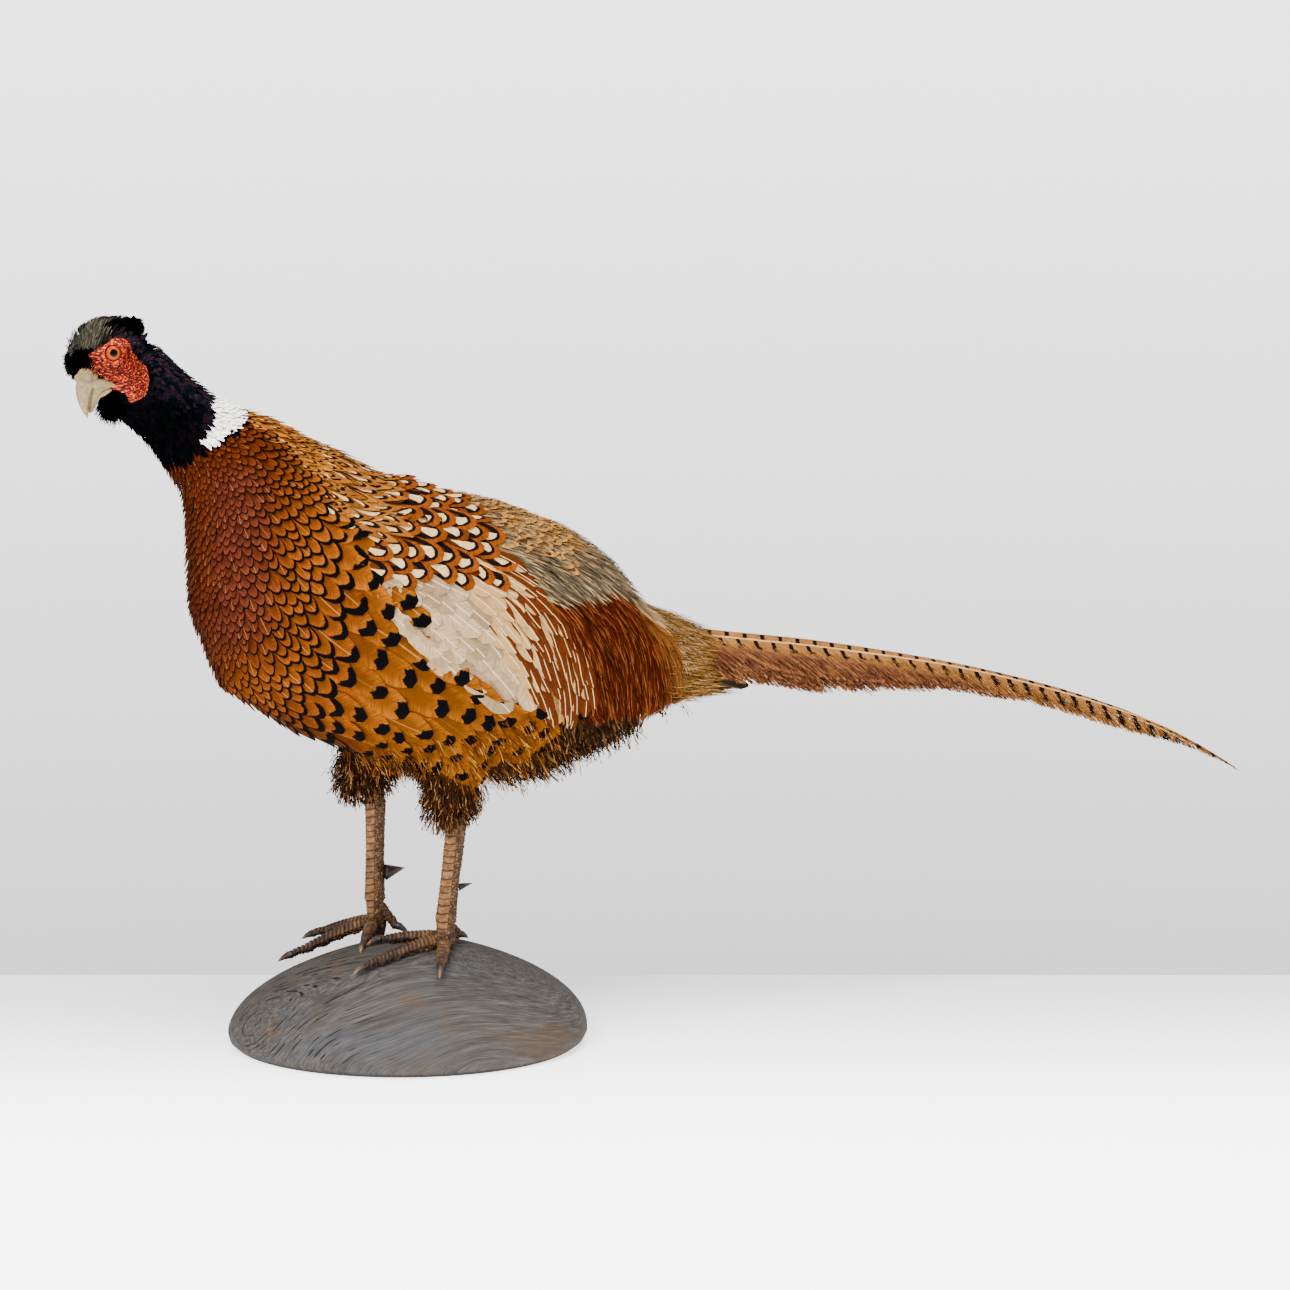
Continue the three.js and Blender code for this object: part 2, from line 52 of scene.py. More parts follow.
# The head's frame: the bill points along -X, the left side is -Y, the crown is +Z.
headPose = {"centre": (-204.3, -25, 490.5), "turn": 42, "tip": 45, "roll": -8.5}
headFrame = birdFrame @ Matrix.Translation(Vector(headPose["centre"]) * mm)
for angle, axis in ((headPose["turn"], "Z"), (-headPose["tip"], "Y"), (headPose["roll"], "X")):
    headFrame = headFrame @ Matrix.Rotation(math.radians(angle), 4, axis)


def toLocal(points, place):  # metres in the row frame to millimetres in another
    inverse = np.array(place.inverted())
    return (points @ inverse[:3, :3].T + inverse[:3, 3]) / mm


def toWorld(points, place):
    matrix = np.array(place)
    return np.asarray(points, float) * mm @ matrix[:3, :3].T + matrix[:3, 3]


def turned(vectors, place):  # directions only
    return vectors @ np.array(place)[:3, :3].T


def unit(vectors):
    return vectors / np.maximum(np.linalg.norm(vectors, axis=-1, keepdims=True), 1e-9)


def smooth(value, low, high):
    t = np.clip((value - low) / (high - low), 0, 1)
    return t * t * (3 - 2 * t)


def roundAngles(count):
    return np.linspace(0, math.tau, count, endpoint=False)


def addObject(name, data):
    made = bpy.data.objects.new(name, data)
    bpy.context.scene.collection.objects.link(made)
    return made


def meshFromBmesh(name, made, shade=True):
    mesh = bpy.data.meshes.new(name)
    made.to_mesh(mesh)
    made.free()
    mesh.polygons.foreach_set("use_smooth", [shade] * len(mesh.polygons))
    return mesh


# The camera's target and distance in millimetres, its elevation in degrees and its lens.
camera = {"target": (163.63, -3, 278.69), "distance": 2600, "elevation": 12, "lens": 108.3}
cameraData = bpy.data.cameras.new("camera")
cameraData.lens = camera["lens"]
cameraData.sensor_width = 36
cameraObject = addObject("camera", cameraData)
tilt = math.radians(camera["elevation"])
back = Vector((0, -math.cos(tilt), math.sin(tilt)))
cameraObject.location = (Vector(camera["target"]) + back * camera["distance"]) * mm
cameraObject.rotation_euler = (math.pi / 2 - tilt, 0, 0)
bpy.context.scene.camera = cameraObject


class Value:  # a number inside a material, which can be written in sums
    def __init__(self, paint, socket):
        self.paint, self.socket = paint, socket

    def __add__(self, other):
        return self.paint.sum("ADD", self, other)

    def __sub__(self, other):
        return self.paint.sum("SUBTRACT", self, other)

    def __rsub__(self, other):
        return self.paint.sum("SUBTRACT", other, self)

    def __mul__(self, other):
        return self.paint.sum("MULTIPLY", self, other)

    def __truediv__(self, other):
        return self.paint.sum("DIVIDE", self, other)

    def __abs__(self):
        return self.paint.sum("ABSOLUTE", self)

    __radd__ = __add__


class Paint:  # a material under construction
    def __init__(self, name, roughness=0.75, gloss=0.02):
        self.material = bpy.data.materials.new(name)
        self.material.use_nodes = True
        self.tree = self.material.node_tree
        self.shader = self.tree.nodes["Principled BSDF"]
        self.shader.inputs["Roughness"].default_value = roughness
        self.shader.inputs["Specular IOR Level"].default_value = gloss

    def node(self, kind, settings=None, inputs=None):
        made = self.tree.nodes.new("ShaderNode" + kind)
        for key, value in (settings or {}).items():
            if key == "stops":
                ramp = made.color_ramp.elements
                while len(ramp) < len(value):
                    ramp.new(0.5)
                for element, (place, colour) in zip(ramp, value):
                    element.position = place
                    element.color = (*colour, 1)
            else:
                setattr(made, key, value)
        for key, value in (inputs or {}).items():
            socket = made.inputs[key]
            if isinstance(value, Value):
                value = value.socket
            if isinstance(value, bpy.types.NodeSocket):
                self.tree.links.new(value, socket)
            elif value is not None:
                if socket.type == "RGBA" and len(value) == 3:
                    value = (*value, 1)
                socket.default_value = value
        return made

    def sum(self, operation, first, second=None):
        return Value(self, self.node("Math", {"operation": operation}, {0: first, 1: second}).outputs[0])

    def step(self, value, low, high):  # 0 below low, 1 above high
        settings = {"interpolation_type": "SMOOTHSTEP"}
        inputs = {"Value": value, "From Min": low, "From Max": high}
        return Value(self, self.node("MapRange", settings, inputs).outputs["Result"])

    def mix(self, factor, first, second):
        return self.node("Mix", {"data_type": "RGBA"}, {"Factor": factor, 6: first, 7: second}).outputs[2]

    def colour(self, name):
        return self.node("Attribute", {"attribute_name": name}).outputs["Color"]

    def number(self, name):
        return Value(self, self.node("Attribute", {"attribute_name": name}).outputs["Fac"])

    def place(self):
        return self.node("TexCoord").outputs["Object"]

    def vane(self):  # across in -1 to 1, and along from 0 at the root to 1
        made = self.node("UVMap", {"uv_map": "vane"})
        parts = self.node("SeparateXYZ", None, {0: made.outputs[0]})
        return Value(self, parts.outputs[0]) * 2 - 1, Value(self, parts.outputs[1])

    def vector(self, x, y, z=0):
        return self.node("CombineXYZ", None, {0: x, 1: y, 2: z}).outputs[0]

    def stretched(self, scale, turn=(0, 0, 0)):
        inputs = {"Vector": self.place(), "Scale": scale, "Rotation": turn}
        return self.node("Mapping", None, inputs).outputs[0]

    def noise(self, vector, scale=1, detail=3, roughness=0.55):
        inputs = {"Vector": vector, "Scale": scale, "Detail": detail, "Roughness": roughness}
        return Value(self, self.node("TexNoise", None, inputs).outputs["Fac"])

    def ramp(self, value, stops):
        return self.node("ValToRGB", {"stops": stops}, {"Fac": value}).outputs["Color"]

    def wear(self, base, height=None, bump=0.3, relief=0.0005):
        self.tree.links.new(base, self.shader.inputs["Base Color"])
        if height is not None:
            made = self.node("Bump", None, {"Strength": bump, "Distance": relief, "Height": height})
            self.tree.links.new(made.outputs[0], self.shader.inputs["Normal"])
        return self.material


def tablePaint():
    paint = Paint("tablePaint", 0.4, 0.2)
    speck = paint.noise(paint.place(), 6, 2)
    near = Value(paint, paint.node("SeparateXYZ", None, {0: paint.place()}).outputs[1])
    # painted light: the table glows, brighter towards the front, on top of its lit colour
    glow = 1 - paint.step(near, -0.25, 0.16)
    light = paint.mix(glow, (0, 0, 0), (0.55, 0.55, 0.55))
    paint.tree.links.new(light, paint.shader.inputs["Emission Color"])
    paint.shader.inputs["Emission Strength"].default_value = 7.5
    return paint.wear(paint.ramp(speck, [(0.3, (0.8, 0.805, 0.81)), (0.7, (0.83, 0.83, 0.83))]))


# The table's edges and thickness in millimetres.
stage = {"backEdge": 157, "front": -2200, "side": 2200, "thickness": 30}


def makeTable():
    made = bmesh.new()
    bmesh.ops.create_cube(made, size=1)
    size = (2 * stage["side"] * mm, (stage["backEdge"] - stage["front"]) * mm, stage["thickness"] * mm)
    middle = (0, (stage["backEdge"] + stage["front"]) / 2 * mm, -stage["thickness"] / 2 * mm)
    bmesh.ops.scale(made, vec=size, verts=made.verts)
    bmesh.ops.translate(made, vec=middle, verts=made.verts)
    table = addObject("table", meshFromBmesh("table", made, False))
    table.data.materials.append(tablePaint())


def makeLight(name, place, aim, size, power):
    data = bpy.data.lights.new(name, "AREA")
    data.shape = "RECTANGLE"
    data.size, data.size_y = size
    data.energy = power
    lamp = addObject(name, data)
    lamp.location = place
    lamp.rotation_euler = (Vector(aim) - Vector(place)).to_track_quat("-Z", "Y").to_euler()


def lightStage():  # an even wall behind, and soft light from above and the left
    world = bpy.data.worlds.new("room")
    world.use_nodes = True
    tree = world.node_tree
    wall, ambient = tree.nodes["Background"], tree.nodes.new("ShaderNodeBackground")
    ambient.inputs["Color"].default_value = (0.96, 0.98, 1, 1)
    ambient.inputs["Strength"].default_value = 1.15
    ray, both = tree.nodes.new("ShaderNodeLightPath"), tree.nodes.new("ShaderNodeMixShader")
    way, fall = tree.nodes.new("ShaderNodeTexCoord"), tree.nodes.new("ShaderNodeSeparateXYZ")
    ramp = tree.nodes.new("ShaderNodeMapRange")
    for name, value in (("From Min", -0.29), ("From Max", -0.06), ("To Min", 1.42), ("To Max", 3.1)):
        ramp.inputs[name].default_value = value
    tree.links.new(way.outputs["Generated"], fall.inputs[0])
    tree.links.new(fall.outputs["Z"], ramp.inputs["Value"])
    tree.links.new(ramp.outputs["Result"], wall.inputs["Strength"])
    tree.links.new(ray.outputs["Is Camera Ray"], both.inputs["Fac"])
    tree.links.new(ambient.outputs[0], both.inputs[1])
    tree.links.new(wall.outputs[0], both.inputs[2])
    tree.links.new(both.outputs[0], tree.nodes["World Output"].inputs["Surface"])
    wall.inputs["Color"].default_value = (1, 1, 1, 1)
    bpy.context.scene.world = world
    makeLight("keyLight", (-0.9, -2.0, 2.1), (0.05, 0, 0.25), (1.3, 1.3), 130)
    makeLight("topLight", (0.35, -0.35, 2.3), (0.1, 0, 0.2), (1.6, 1.1), 85)


makeTable()
lightStage()
print("stage ready")


def addPiece(name, mesh, material, replaced=()):
    piece = addObject(name, mesh)
    mesh.materials.clear()
    mesh.materials.append(material)
    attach(piece, "root")
    if replaced:
        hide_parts(*replaced)
    return piece


def readPoints(mesh):
    points = np.zeros(len(mesh.vertices) * 3)
    mesh.vertices.foreach_get("co", points)
    return points.reshape(-1, 3)


def writePoints(mesh, points):
    mesh.vertices.foreach_set("co", np.ascontiguousarray(points, np.float32).ravel())
    mesh.update()


def readNormals(mesh):
    normals = np.zeros(len(mesh.vertices) * 3)
    mesh.vertex_normals.foreach_get("vector", normals)
    return normals.reshape(-1, 3)


# One bmesh of these solids, each grown along its normals to close the gaps between them.
def copyNodes(names, swell=0.0):
    made = bmesh.new()
    for name in names:
        one = bmesh.new()
        one.from_mesh(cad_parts[name].data)
        bmesh.ops.remove_doubles(one, verts=one.verts, dist=1e-6)
        one.normal_update()
        for vert in one.verts:
            vert.co += vert.normal * swell
        held = bpy.data.meshes.new("held")
        one.to_mesh(held)
        one.free()
        made.from_mesh(held)
        bpy.data.meshes.remove(held)
    return made


def smoothMesh(mesh, rounds):
    made = bmesh.new()
    made.from_mesh(mesh)
    axes = {"use_axis_x": True, "use_axis_y": True, "use_axis_z": True}
    for _ in range(rounds):
        bmesh.ops.smooth_vert(made, verts=made.verts, factor=0.5, **axes)
    made.to_mesh(mesh)
    made.free()


def remeshed(name, made, voxel, rounds):  # the bmesh as one even, smoothed surface
    mesh = meshFromBmesh(name, made)
    held = addObject("held", mesh)
    modifier = held.modifiers.new("even", "REMESH")
    modifier.mode = "VOXEL"
    modifier.voxel_size = voxel * mm
    modifier.use_smooth_shade = True
    graph = bpy.context.evaluated_depsgraph_get()
    result = bpy.data.meshes.new_from_object(held.evaluated_get(graph), depsgraph=graph)
    bpy.data.objects.remove(held)
    bpy.data.meshes.remove(mesh)
    result.name = name
    smoothMesh(result, rounds)
    result.polygons.foreach_set("use_smooth", [True] * len(result.polygons))
    return result


def stripMesh(name, points):  # a sheet of quads for each block of points: sheets, rows, columns
    sheets, rows, cols = points.shape[:3]
    square = np.array([(r * cols + c, r * cols + c + 1, (r + 1) * cols + c + 1, (r + 1) * cols + c)
                       for r in range(rows - 1) for c in range(cols - 1)])
    quads = (np.arange(sheets)[:, None, None] * rows * cols + square).reshape(-1, 4)
    mesh = bpy.data.meshes.new(name)
    flat = points.reshape(-1, 3).astype(np.float32)
    mesh.vertices.add(len(flat))
    mesh.vertices.foreach_set("co", flat.ravel())
    mesh.loops.add(quads.size)
    mesh.loops.foreach_set("vertex_index", quads.ravel().astype(np.int32))
    mesh.polygons.add(len(quads))
    mesh.polygons.foreach_set("loop_start", np.arange(0, quads.size, 4, dtype=np.int32))
    mesh.polygons.foreach_set("use_smooth", np.ones(len(quads), bool))
    mesh.update(calc_edges=True)
    return mesh


def addMap(mesh, name, spots):  # a UV map, by one spot for each vertex
    loops = np.zeros(len(mesh.loops), np.int32)
    mesh.loops.foreach_get("vertex_index", loops)
    mesh.uv_layers.new(name=name).data.foreach_set("uv", spots[loops].astype(np.float32).ravel())


def addAttribute(mesh, name, values):
    values = np.asarray(values, np.float32)
    if values.ndim == 2:
        made = mesh.attributes.new(name, "FLOAT_COLOR", "POINT")
        full = np.ones((len(values), 4), np.float32)
        full[:, :3] = values
        made.data.foreach_set("color", full.ravel())
    else:
        made = mesh.attributes.new(name, "FLOAT", "POINT")
        made.data.foreach_set("value", values)


# The markings, by their place on the bird's side: x towards the tail and z upwards, in millimetres

outlines = {
    "collar": [(-120, 462), (-127, 452), (-135, 446), (-133, 437), (-138, 429), (-144, 424), (-139, 418),
               (-133, 421), (-126, 427), (-118, 429), (-112, 432), (-109, 437), (-102, 452)],
    "neck": [(-260, 560), (-260, 380), (-172, 390), (-157, 406), (-143, 414), (-132, 419), (-119, 425),
             (-110, 430), (-104, 440), (-98, 470), (-120, 560)],
    "mantle": [(-112, 432), (-93, 423), (-81, 411), (-69, 398), (-61, 384), (-53, 369), (-48, 372),
               (-46, 430), (-98, 470)],
    "scapularFront": [(-53, 369), (-38, 362), (-30, 357), (-8, 352), (-4, 420), (-48, 430)],
    "scapular": [(-30, 357), (-30, 342), (-36, 333), (-23, 329), (-8, 327), (10, 327), (35, 323), (49, 319),
                 (60, 315), (63, 330), (63, 341), (58, 351), (54, 359), (44, 370), (32, 384), (-10, 420)],
    "panel": [(-32, 334), (-31, 319), (-9, 316), (0, 308), (-1, 294), (8, 271), (28, 260), (40, 247),
              (50, 240), (76, 235), (66, 251), (51, 275), (43, 288), (38, 320), (38, 340), (-23, 340)],
    "streak": [(37, 340), (37, 320), (42, 288), (50, 275), (65, 251), (75, 235), (92, 222), (106, 220),
               (117, 236), (113, 250), (102, 268), (90, 290), (84, 306), (74, 322), (60, 340)],
    "rust": [(84, 306), (98, 301), (127, 300), (141, 301), (189, 264), (194, 226), (168, 214), (113, 222),
             (113, 250), (102, 268), (90, 290)],
    "rump": [(30, 384), (44, 370), (54, 359), (60, 346), (64, 330), (62, 316), (84, 306), (98, 301),
             (127, 300), (141, 301), (160, 290), (176, 300), (120, 420), (20, 420)],
    "tailCover": [(141, 301), (189, 264), (194, 222), (280, 200), (280, 290), (176, 310)],
    "vent": [(104, 234), (113, 222), (168, 216), (196, 224), (260, 232), (260, 180), (120, 130), (62, 130),
             (70, 172), (86, 194), (95, 213)],
}
regionNames = ["contour", *outlines, "crown", "forehead", "boot", "bare"]


def inside(x, z, outline):
    count = np.zeros(len(x), int)
    for (ax, az), (bx, bz) in zip(outline, outline[1:] + outline[:1]):
        crosses = (az > z) != (bz > z)
        span = np.where(bz == az, 1, bz - az)
        count += crosses & (x < ax + (z - az) * (bx - ax) / span)
    return count % 2 == 1


# The bare face, forward and up from the head's centre.
faceOutline = [(18.6, 14.1), (14.6, 12.9), (10, 12.7), (5.6, 11.4), (1.5, 9.6), (0.2, 7.6), (-2, 3.5),
               (-1.2, -1.5), (0.2, -6), (0, -10), (-1.4, -15), (-0.8, -18.5), (2.2, -20.5), (5.5, -23),
               (9, -26), (13.5, -29), (17.6, -30.6), (20.6, -30.4), (24, -29.4), (24.2, -27.6), (22.6, -25.4),
               (21.8, -22.2), (22.2, -19.5), (22.4, -17.4), (22.6, -14), (24.6, -9), (25.6, -4), (26, 1.4),
               (23.8, 6.1), (21.6, 9.7)]
# The face's grid, and its relief in millimetres; the right one ends lower and bulges forward.
face = {"grid": 0.34, "lift": 0.35, "tuck": 1.4, "papilla": 1.05, "relief": 0.6, "lid": 0.7, "rightTop": 9.5,
        "rightBulge": 10, "side": 9}
# Where the cap, the forehead, the boots and the vent begin and end, in millimetres.
crown = {"low": 9, "front": 18, "behind": 24, "nape": 15}
forehead = {"front": 13.5, "low": -8}
boots = {"left": (24, -32, 188), "right": (-20, 24, 196), "reach": 32}
ventral = {"top": 222, "start": 60, "half": 30}
wingSide = 38
headReach = 36


def regionsAt(world):  # the marking at each point, and its place in the bird's and the head's frames
    place = toLocal(world, birdFrame)
    head = toLocal(world, headFrame)
    x, y, z = place.T
    found = np.zeros(len(x), int)
    for name in ("vent", "tailCover", "rump", "rust", "streak", "panel", "scapular", "scapularFront",
                 "mantle", "neck", "collar"):
        hit = inside(x, z, outlines[name])
        if name in ("panel", "streak"):
            hit &= np.abs(y) > wingSide
        if name == "vent":
            hit |= (z < ventral["top"]) & (x > ventral["start"]) & (np.abs(y) < ventral["half"])
        found[hit] = regionNames.index(name)
    for name in ("left", "right"):
        legX, legY, top = boots[name]
        near = np.hypot(x - legX, y - legY) < boots["reach"]
        found[near & (z < top - 0.5 * (x - legX) * (name == "left"))] = regionNames.index("boot")
    forward, side, up = -head[:, 0], head[:, 1], head[:, 2]
    onHead = (np.linalg.norm(head, axis=1) < headReach) & (forward > -crown["behind"])
    low = crown["low"] + 0.75 * np.minimum(forward + 2, 0)
    isCrown = onHead & (up > low) & (forward < crown["front"])
    found[isCrown & ((forward > -4) | (np.abs(side) < crown["nape"]))] = regionNames.index("crown")
    found[onHead & (up > forehead["low"]) & (forward > forehead["front"])] = regionNames.index("forehead")
    bare = onHead & inside(forward, up, faceOutline) & (np.abs(side) > face["side"])
    found[bare & ((side < 0) | (up < face["rightTop"]))] = regionNames.index("bare")
    return found, place, head


def depthAt(place, head):  # how far the skin lies inside the plumage's outer surface
    fromHead = np.linalg.norm(head, axis=1)
    depth = 1.6 + 2.9 * smooth(fromHead, 30, 85)
    depth = depth + 6 * smooth(place[:, 0], 200, 226) * smooth(place[:, 2], 236, 248)
    return np.where(place[:, 2] < 200, 3.4, depth)


# The lie of the coat: x, z, and degrees below the tailward horizontal.
lie = np.array([
    (-196, 480, 50), (-165, 455, 50), (-140, 440, 46), (-160, 405, 62), (-135, 405, 60), (-112, 425, 44),
    (-85, 412, 34), (-60, 395, 28), (-20, 385, 22), (30, 372, 16), (-135, 370, 76), (-105, 380, 56),
    (-75, 370, 44), (-132, 320, 80), (-100, 330, 60), (-70, 320, 46), (-115, 270, 62), (-75, 270, 44),
    (-40, 290, 38), (-60, 235, 26), (-15, 250, 36), (0, 215, 30), (40, 225, 42), (35, 195, 52), (80, 205, 52),
    (-35, 345, 26), (-10, 340, 24), (25, 335, 26), (55, 330, 34), (-15, 310, 38), (20, 295, 42),
    (40, 260, 48), (60, 290, 56), (72, 250, 66), (95, 270, 74), (100, 230, 82), (80, 350, 22),
    (120, 335, 34), (100, 318, 38),
    (130, 300, 48), (135, 270, 70), (155, 250, 80), (180, 245, 72), (165, 295, 46), (200, 275, 38),
    (230, 262, 20), (215, 240, 44), (165, 220, 70), (120, 215, 62), (24, 168, 88), (-20, 170, 92),
    (26, 186, 78), (-20, 188, 88),
], float)


def lieAt(world, normals):  # the direction in which feathers lie at points on the skin, along its surface
    place = toLocal(world, birdFrame)
    head = toLocal(world, headFrame)
    fall = np.radians(lie[:, 2])
    arrows = np.stack([np.cos(fall), -np.sin(fall)], 1)
    gapX = place[:, None, 0] - lie[None, :, 0]
    gapZ = place[:, None, 2] - lie[None, :, 1]
    weight = (gapX**2 + gapZ**2 + 30) ** -2.0
    flat = unit((weight[:, :, None] * arrows[None]).sum(1))
    outward = 0.1 * np.sign(place[:, 1]) * smooth(np.abs(place[:, 1]), 4, 40)
    body = turned(np.stack([flat[:, 0], outward, flat[:, 1]], 1), birdFrame)
    fallen = -0.3 * smooth(-head[:, 2], -6, 14)
    skullward = unit(np.stack([np.ones(len(head)), 0.12 * np.sign(head[:, 1]), fallen], 1))
    skullward = turned(skullward, headFrame)
    share = 1 - smooth(np.linalg.norm(head, axis=1), 22, 44)
    share = np.where(head[:, 0] > 20, share * 0.4, share)[:, None]
    way = body * (1 - share) + skullward * share
    return unit(way - normals * (way * normals).sum(1, keepdims=True))


fleshNodes = ["head", "neck", "trunk", "rump", "undertail", "thigh_left", "thigh_right", "wing_left",
              "wing_right"]


def blend(first, second, share):
    first = np.asarray(first)
    return first + (second - first) * np.asarray(share)[:, None]


def tintAt(found, place):  # the plumage's ground colour at points in the bird's frame
    x, y, z = place.T
    tint = np.tile((0.24, 0.056, 0.003), (len(x), 1))
    tint = blend(tint, (0.25, 0.07, 0.002), smooth(x, -70, 0))
    tint = blend(tint, (0.11, 0.018, 0.0005), 1 - smooth(x + 0.35 * (330 - z), -135, -70))
    mauve = smooth(x, -150, -128) * (1 - smooth(x, -118, -86)) * smooth(z, 262, 300)
    tint = blend(tint, (0.105, 0.021, 0.011), 0.8 * mauve * (1 - smooth(z, 396, 416)))
    # painted shade: darker down the breast's front middle, which turns away from the light
    front = 1 - smooth(np.abs(y) + 0.5 * (x + 150), 12, 30)
    tint = blend(tint, (0.07, 0.011, 0.0005), 0.9 * front)
    throat = (1 - smooth(x + 0.8 * (420 - z), -152, -112)) * smooth(z, 345, 385)
    tint = blend(tint, (0.035, 0.004, 0.0005), 0.8 * throat)
    belly = (1 - smooth(z + 0.45 * x, 184, 214)) * (1 - smooth(x, -20, 30))
    tint = blend(tint, (0.045, 0.009, 0.0003), 0.93 * belly)
    tint = tint * (1 - 0.24 * (1 - smooth(z, 285, 345)))[:, None]
    under = (1 - smooth(np.abs(y), 8, 24)) * (1 - smooth(z - 0.1 * x, 210, 240))
    tint = blend(tint, (0.02, 0.008, 0.004), under)
    flat = {
        "neck": (0.004, 0.004, 0.005), "collar": (0.9, 0.88, 0.83), "mantle": (0.34, 0.13, 0.03),
        "scapularFront": (0.3, 0.12, 0.03), "scapular": (0.17, 0.036, 0.004), "panel": (0.6, 0.4, 0.22),
        "streak": (0.42, 0.2, 0.06), "rust": (0.07, 0.016, 0.002), "rump": (0.16, 0.1, 0.045),
        "tailCover": (0.17, 0.075, 0.02), "vent": (0.016, 0.006, 0.002), "crown": (0.035, 0.032, 0.024),
        "forehead": (0.002, 0.002, 0.002), "boot": (0.04, 0.016, 0.004), "bare": (0.12, 0.02, 0.01),
    }
    for name, colour in flat.items():
        tint[found == regionNames.index(name)] = colour
    return tint


def skinPaint():
    paint = Paint("skinPaint", 0.85, 0.0)
    grain = paint.noise(paint.place(), 900, 3)
    ground = paint.mix(paint.step(grain, 0.3, 0.75) * 0.5, paint.colour("tint"), (0.004, 0.003, 0.002))
    return paint.wear(ground, grain, 0.4)


def makeSkin():
    mesh = remeshed("skin", copyNodes(fleshNodes, 0.5 * mm), 2.0, 5)
    points, normals = readPoints(mesh), readNormals(mesh)
    place, head = toLocal(points, birdFrame), toLocal(points, headFrame)
    points = points - normals * (depthAt(place, head)[:, None] * mm + 0.5 * mm)
    place = toLocal(points, birdFrame)
    floor = np.where(place[:, 1] > -6, 175, 162)  # blunt ends, under the tufts above the legs
    points[:, 2] = np.maximum(points[:, 2], floor * mm)
    writePoints(mesh, points)
    smoothMesh(mesh, 4)
    found, place, _ = regionsAt(readPoints(mesh))
    addAttribute(mesh, "tint", tintAt(found, place))
    return addPiece("skin", mesh, skinPaint(), fleshNodes)


skin = makeSkin()
skinTree = BVHTree.FromObject(skin, bpy.context.evaluated_depsgraph_get())
skinNormals = readNormals(skin.data)
skinCorners = [list(polygon.vertices) for polygon in skin.data.polygons]
skinFaceNormals = unit(np.array([skinNormals[corners].mean(0) for corners in skinCorners]))
print("skin", len(skin.data.polygons))


def snap(points):  # the nearest points of the skin, with its smooth normals there
    hits = [skinTree.find_nearest(point) for point in points.tolist()]
    found = np.array([hit[0][:] for hit in hits])
    return found, skinFaceNormals[[hit[2] for hit in hits]]


def skinSamples(count):  # points spread evenly by area over the skin
    mesh = skin.data
    mesh.calc_loop_triangles()
    triangles = np.zeros(len(mesh.loop_triangles) * 3, np.int64)
    mesh.loop_triangles.foreach_get("vertices", triangles)
    triangles = triangles.reshape(-1, 3)
    corners = readPoints(mesh)[triangles]
    area = np.linalg.norm(np.cross(corners[:, 1] - corners[:, 0], corners[:, 2] - corners[:, 0]), axis=1)
    picked = draw.choice(len(area), count, p=area / area.sum())
    a, b = draw.random((2, count))
    flip = a + b > 1
    a, b = np.where(flip, 1 - a, a)[:, None], np.where(flip, 1 - b, b)[:, None]
    corners = corners[picked]
    normals = unit(skinNormals[triangles[picked]].mean(1))
    return corners[:, 0] + a * (corners[:, 1] - corners[:, 0]) + b * (corners[:, 2] - corners[:, 0]), normals


def thin(points, spacing):  # indices of points that keep their own spacing from each other, in metres
    if not len(points):
        return np.zeros(0, int)
    keys = np.floor(points / spacing.max()).astype(int).tolist()
    around = [(i, j, k) for i in (-1, 0, 1) for j in (-1, 0, 1) for k in (-1, 0, 1)]
    grid, kept = {}, []
    for index, (key, place, limit) in enumerate(zip(keys, points.tolist(), (spacing**2).tolist())):
        (i, j, k), (x, y, z) = key, place
        near = (spot for di, dj, dk in around for spot in grid.get((i + di, j + dj, k + dk), ()))
        if not any((x - nx) ** 2 + (y - ny) ** 2 + (z - nz) ** 2 < limit for nx, ny, nz in near):
            grid.setdefault((i, j, k), []).append(place)
            kept.append(index)
    return np.array(kept)


sampleCount = 210000
samples, sampleNormals = skinSamples(sampleCount)
sampleRegion, samplePlace, sampleHead = regionsAt(samples)
print("samples", len(samples))


# The spines of feathers whose tips lie at these points: their places, normals and ways from root to tip.
def layVanes(tips, normals, spec, scale):
    rows = spec["rows"]
    length = spec["length"] * scale * mm
    step = (length / rows)[:, None]
    place, normal = tips.copy(), normals.copy()
    way = lieAt(place, normal)
    swing = np.radians(draw.normal(0, spec.get("stray", 5), len(tips)))[:, None]
    way = way * np.cos(swing) + np.cross(normal, way) * np.sin(swing)
    spine = [(place, normal, way)]
    for _ in range(rows):
        place, normal = snap(place - way * step)
        fresh = lieAt(place, normal)
        way = unit(0.65 * (way - normal * (way * normal).sum(1, keepdims=True)) + 0.35 * fresh)
        spine.append((place, normal, way))
    spine.reverse()
    return [np.stack(part, 1) for part in zip(*spine)]


def vaneWidth(v, kind):  # a feather's half width along its length, as a share of its full one
    if kind == "round":
        tip = np.sqrt(np.clip(1 - ((v - 0.5) / 0.52) ** 2, 0.0, 1))
        return np.where(v < 0.5, 0.55 + 0.9 * v, tip)
    if kind == "pointed":
        past = np.maximum(v - 0.35, 0) / 0.68
        return np.where(v < 0.35, 0.5 + 1.43 * v, np.clip(1 - past**2.2, 0, 1))
    if kind == "blunt":
        return np.where(v < 0.8, 0.75 + 0.31 * v, np.sqrt(np.clip(1 - ((v - 0.8) / 0.21) ** 2, 0, 1)))
    return np.clip(1.05 - v**1.5, 0.0, 1)  # a strand


